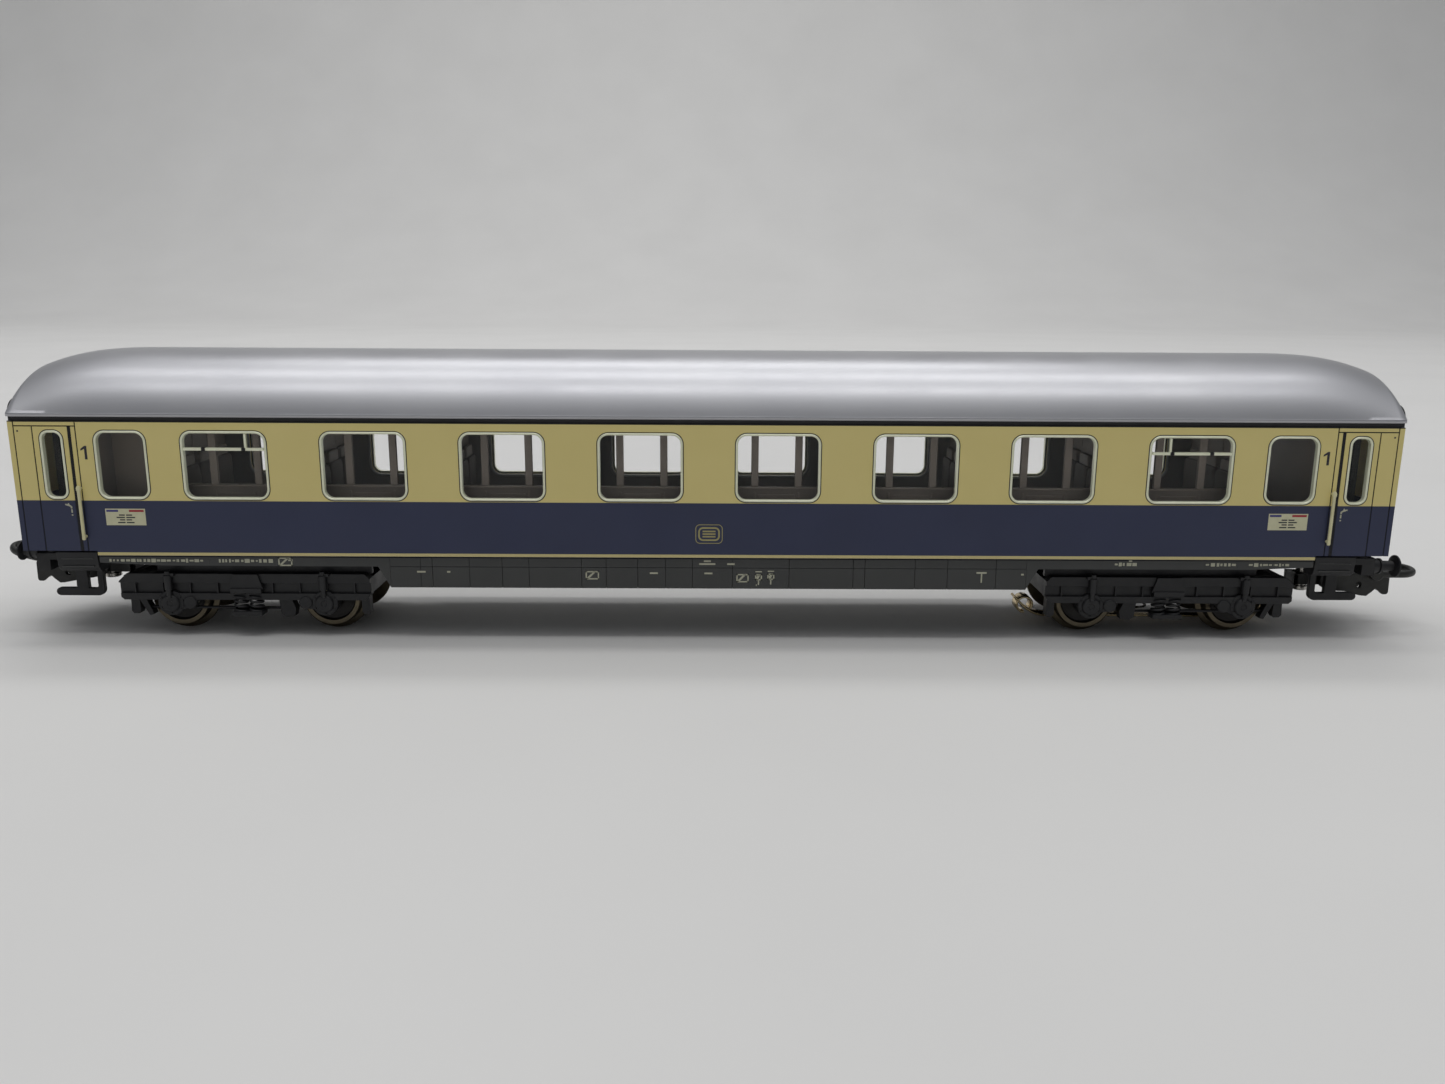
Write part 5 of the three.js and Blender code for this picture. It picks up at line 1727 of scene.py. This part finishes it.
@dataclass
class Coupler:
    """One coupler, drawn outwards along +X from its pin: pocket, hoop, arm and wire loop."""

    end: End
    pin_x: float = 119.5
    axis_x: float = 13.0
    axis_z: float = 11.9
    reach: float = 16.7
    arm_foot: float = 7.0
    parked: float = 14.0
    level_height: float = 3.2

    def __post_init__(self) -> None:
        """Reads from the frame how far the arm is pushed in and lifted, and if the loop is up."""
        self.label = self.end.name.lower()
        low, high = node_box(f"coupler_arm_{self.label}")
        self.pushed = self.pin_x + self.reach - max(abs(low[0]), abs(high[0]))
        self.lift = float(low[2]) - self.arm_foot
        low, high = node_box(f"coupler_loop_{self.label}")
        self.raised = math.radians(self.parked) if high[2] - low[2] > self.level_height else 0.0
        s = self.end.value
        self.fixed = Place(s * self.pin_x, s)
        self.moving = Place(s * (self.pin_x - self.pushed), s, z=self.lift)

    def build(self) -> None:
        """Makes the pocket, the pin, the arm and the loop."""
        self.pocket()
        self.arm()
        self.loop()

    def pocket(self) -> None:
        """Makes the pocket plate with ribs, and the guide hoop at its near side."""
        piece = Piece(f"coupler_pocket_{self.label}_moulding", "coach_body", [Finish.BLACK])
        piece.block((-4.5, -6.6, 12.75), (4.2, 6.6, 14.5))
        for y in (-4.4, -2.2, 2.2, 4.4):
            piece.block((-4.3, y - 0.2, 12.6), (4.0, y + 0.2, 12.8))
        y0, y1 = (-6.3, -5.3) if self.end is End.RIGHT else (5.3, 6.3)
        turn = np.linspace(math.pi, 1.5 * math.pi, 8)
        hollow = [(0.5 + 0.6 * math.cos(a), 7.9 + 0.6 * math.sin(a)) for a in turn]
        heel = [(0.0 + 1.3 * math.cos(a), 7.1 + 1.3 * math.sin(a)) for a in turn[::-1]]
        nose = [(7.4 + 0.78 * math.cos(a), 6.6 + 0.78 * math.sin(a))
                for a in np.linspace(1.5, -1.5, 7)]
        post = [(1.75, 7.32), (1.8, 12.8), (4.05, 12.8), (4.1, 7.4)]
        piece.plate([(-0.1, 12.8)] + hollow + post + nose + heel + [(-1.3, 12.8)], y0, y1)
        piece.turned(self.fixed).build(bevel=0.12, replaces=[f"coupler_pocket_{self.label}"])
        pin = Piece(f"coupler_pin_{self.label}_rivet", "coach_body", [Finish.STEEL])
        shape = [(7.8, 0), (7.8, 1.3), (8.0, 1.55), (8.6, 1.55), (8.7, 1.0)]
        rivet = [(z + self.lift, r) for z, r in shape] + [(12.5, 1.0), (12.5, 0)]
        pin.lathe(rivet, "z", (0, 0, 0), 28)
        pin.turned(self.fixed).build(replaces=[f"coupler_pin_{self.label}"])

    def arm(self) -> None:
        """Makes the arm: slotted shank, two pierced hook plates, cross pin and front plate."""
        arm = Piece(f"coupler_arm_{self.label}_hook", f"coupler_{self.label}",
                    [Finish.COUPLER, Finish.STEEL])
        for y in (-2.1, 1.4):
            arm.block((-2.3, y, 9.2), (6.0, y + 0.7, 11.4))
        arm.block((-2.3, -2.1, 9.2), (-1.4, 2.1, 11.4))
        arm.block((5.4, -2.1, 9.2), (11, 2.1, 11.4))
        for y0 in (-2.8, 2.0):
            self.pierced(arm, y0, y0 + 0.8)
        arm.block((15.9, -2.5, 7.5), (16.55, 2.5, 10.8))
        arm.rod((self.axis_x, -4.2, self.axis_z), (self.axis_x, 4.2, self.axis_z), 0.5, 20, 1)
        arm.turned(self.moving).build(bevel=0.1, replaces=[f"coupler_arm_{self.label}"])

    @staticmethod
    def pierced(piece: Piece, y0: float, y1: float) -> None:
        """Adds a hook plate in two halves that meet on the level of its two round holes."""
        split = 9.35
        t = np.linspace(0, math.pi, 15)
        holes = ((4.3, 0.5), (10.4, 0.65))
        lower = [(16.62, 7.9), (16.5, 7.55), (16.2, 7.4), (15.5, 7.4), (14.7, 8.1), (14.0, 8.6),
                 (13.3, 7.9), (12.3, 7.05), (11.4, 7.1), (9.3, 7.5), (8.0, 8.0), (5.8, 8.1),
                 (4.4, 8.4), (3.4, 8.7), (2.8, 9.1)]
        upper = [(16.55, 11.2), (16.3, 11.6), (15.6, 12.0), (14.2, 12.9), (13.6, 13.0),
                 (12.0, 13.0), (11.4, 12.9), (9.2, 11.6), (2.9, 11.6), (2.6, 11.3)]
        for sign, rest in ((-1, lower), (1, upper)):
            line = [(2.62, split)]
            for x, r in holes:
                line += [(x - r * math.cos(a), split + sign * r * math.sin(a)) for a in t]
            piece.plate(line + [(16.6, split)] + rest, y0, y1)

    def loop(self) -> None:
        """Makes the wire loop: a U with an elliptic nose and two eyes on the cross pin."""
        straight, wide, nose, wire = 18.0, 4.05, 4.0, 0.55
        t = np.linspace(-math.pi / 2, math.pi / 2, 33)
        head = np.stack([straight + nose * np.cos(t), wide * np.sin(t)], 1)
        run = np.linspace(self.axis_x + 1.0, straight, 6)[:-1]
        line = np.concatenate([np.stack([run, -wide + 0 * run], 1), head,
                               np.stack([run[::-1], wide + 0 * run], 1)])
        path = np.stack([line[:, 0], line[:, 1], np.full(len(line), self.axis_z)], 1)
        a = np.linspace(0, 2 * math.pi, 14, endpoint=False)
        section = np.stack([wire * np.cos(a), 0.72 * np.sin(a)], 1)
        loop = Piece(f"coupler_loop_{self.label}_wire", f"loop_{self.label}", [Finish.COUPLER])
        loop.sweep(section, path)
        for y in (-wide, wide):
            ring = [(-0.5, 0.62), (-0.5, 1.2), (-0.38, 1.35), (0.38, 1.35), (0.5, 1.2), (0.5, 0.62)]
            loop.lathe(ring, "y", (self.axis_x, y, self.axis_z), 28)
        points = np.vstack(loop.points) - [self.axis_x, 0, self.axis_z]
        c, s = math.cos(self.raised), math.sin(self.raised)
        lifted = np.stack([points[:, 0] * c - points[:, 2] * s, points[:, 1],
                           points[:, 0] * s + points[:, 2] * c], 1)
        loop.points = [lifted + [self.axis_x, 0, self.axis_z]]
        loop.turned(self.moving).build(replaces=[f"coupler_loop_{self.label}"])


# ---------------------------------------------------------------- stage


@dataclass
class Studio:
    """Pale sweep, soft lights and the camera."""

    camera_mm: tuple[float, float, float] = (0.84, -224.34, 65.84)
    yaw: float = 0.008
    pitch: float = -0.22
    roll: float = 0.006
    lens: float = 28.607

    def build(self) -> None:
        """Makes the camera, the floor and the lights."""
        self.camera()
        self.sweep()
        self.lights()

    def camera(self) -> None:
        """Makes the camera a little above the roof, looking slightly down."""
        data = bpy.data.cameras.new("camera")
        data.sensor_width = 36
        data.lens = self.lens
        data.clip_start, data.clip_end = 0.01, 20
        cam = bpy.data.objects.new("camera", data)
        bpy.context.scene.collection.objects.link(cam)
        cy, sy = math.cos(self.yaw), math.sin(self.yaw)
        cp, sp = math.cos(self.pitch), math.sin(self.pitch)
        ahead = np.array([sy * cp, cy * cp, sp])
        right = np.array([cy, -sy, 0.0])
        up = np.cross(right, ahead)
        side = right * math.cos(self.roll) + up * math.sin(self.roll)
        rise = up * math.cos(self.roll) - right * math.sin(self.roll)
        turn = Matrix(np.stack([side, rise, -ahead], 1).tolist()).to_4x4()
        cam.matrix_world = Matrix.Translation([v * MM for v in self.camera_mm]) @ turn
        bpy.context.scene.camera = cam

    def sweep(self) -> None:
        """Makes the floor, curving up into a backdrop far behind by a quarter circle."""
        t = np.linspace(0, math.pi / 2, 24)
        depth = np.concatenate([[-3.0, 0.0, 1.2], 1.6 + 0.9 * np.sin(t), [2.5]])
        height = np.concatenate([[0, 0, 0], 0.9 - 0.9 * np.cos(t), [3.2]]) - 0.00005
        x = np.array([-4.0, 4.0])
        grid = np.stack(np.broadcast_arrays(x[None], depth[:, None], height[:, None]), -1)
        mesh = bpy.data.meshes.new("paper_sweep")
        mesh.from_pydata(grid.reshape(-1, 3).tolist(), [], grid_quads(len(depth), 2))
        mesh.shade_smooth()
        paper = Surface("matt_paper", "D9D8D6", "D4D3D1", (0.75, 0.85), 0, 120, 2.0, 0.02)
        mesh.materials.append(paper.make())
        sweep = bpy.data.objects.new("paper_sweep", mesh)
        bpy.context.scene.collection.objects.link(sweep)
        sweep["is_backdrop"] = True

    def lights(self) -> None:
        """Two long soft boxes overhead, a wash for the backdrop, and a room darker low down."""
        self.area("overhead_rear", place=(-0.04, 0.10, 1.0), size=(1.3, 0.10), power=1.9)
        self.area("overhead_front", place=(-0.04, -0.27, 0.98), size=(1.3, 0.10), power=1.65)
        self.area("backdrop_wash", place=(-0.1, 0.9, 1.7), size=(1.4, 0.8), power=13.8,
                  aim=(0, 2.4, 0.0))
        world = bpy.data.worlds.new("grey_room")
        world.use_nodes = True
        tree = world.node_tree
        place = add_node(tree, "ShaderNodeTexCoord").outputs["Generated"]
        axes = add_node(tree, "ShaderNodeSeparateXYZ", {0: place})
        height = add_node(
            tree,
            "ShaderNodeMapRange",
            {0: axes.outputs["Z"], 1: 0.6, 2: 0.97, 3: 0.0, 4: 1.0},
            interpolation_type="SMOOTHSTEP",
        )
        shade = mix_colour(tree, height.outputs[0], linear("747679"), linear("F0F1F3"))
        back = tree.nodes["Background"]
        tree.links.new(shade, back.inputs["Color"])
        back.inputs["Strength"].default_value = 1.1
        scene = bpy.context.scene
        scene.world = world
        scene.view_settings.view_transform = "Standard"

    @staticmethod
    def area(name: str, place: tuple[float, float, float], size: tuple[float, float], power: float,
             aim: tuple[float, float, float] = (0.0, 0.0, 0.03)) -> None:
        """Adds one rectangular light that faces a point on the middle plane."""
        data = bpy.data.lights.new(name, "AREA")
        data.shape = "RECTANGLE"
        data.size, data.size_y = size
        data.energy = power
        lamp = bpy.data.objects.new(name, data)
        lamp.location = place
        way = np.array(aim) - np.array(place)
        lamp.rotation_euler = (math.atan2(float(way[1]), -float(way[2])), 0, 0)
        bpy.context.scene.collection.objects.link(lamp)


def dress_nodes(frame: dict[str, Any]) -> None:
    """Gives the CAD nodes that stay visible their finishes."""
    finishes = {
        "roof_gasket": Finish.BLACK,
        "chassis_floor": Finish.BLACK,
        "ballast_plate": Finish.STEEL,
        "glazing_near": Finish.GLAZING,
        "glazing_far": Finish.GLAZING,
    }
    for node, finish in finishes.items():
        obj = frame["nodes"][node]
        if not obj.material_slots:
            obj.data.materials.append(None)
        obj.material_slots[0].material = finish.material()


def main() -> dict[str, list[list[float]]]:
    """Builds the coach round the frame.
    """
    logging.basicConfig(level=logging.INFO, format="%(name)s: %(message)s")
    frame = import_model()
    sizes = {"cad": [list(corner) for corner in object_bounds()]}
    Studio().build()
    dress_nodes(frame)
    shell = BodyShell()
    shell.build_shell()
    shell.build_seams()
    shell.build_frames()
    shell.build_end_details()
    shell.build_handrails()
    Marks(shell).build()
    Roof().build()
    Underframe().build()
    Interior().build()
    for end in End:
        Headstock(end).build()
        Bogie(end).build()
        Coupler(end).build()
    sizes["visual"] = [list(corner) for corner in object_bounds()]
    LOG.info("sizes %s", sizes)
    return sizes


if __name__ == "__main__":
    main()
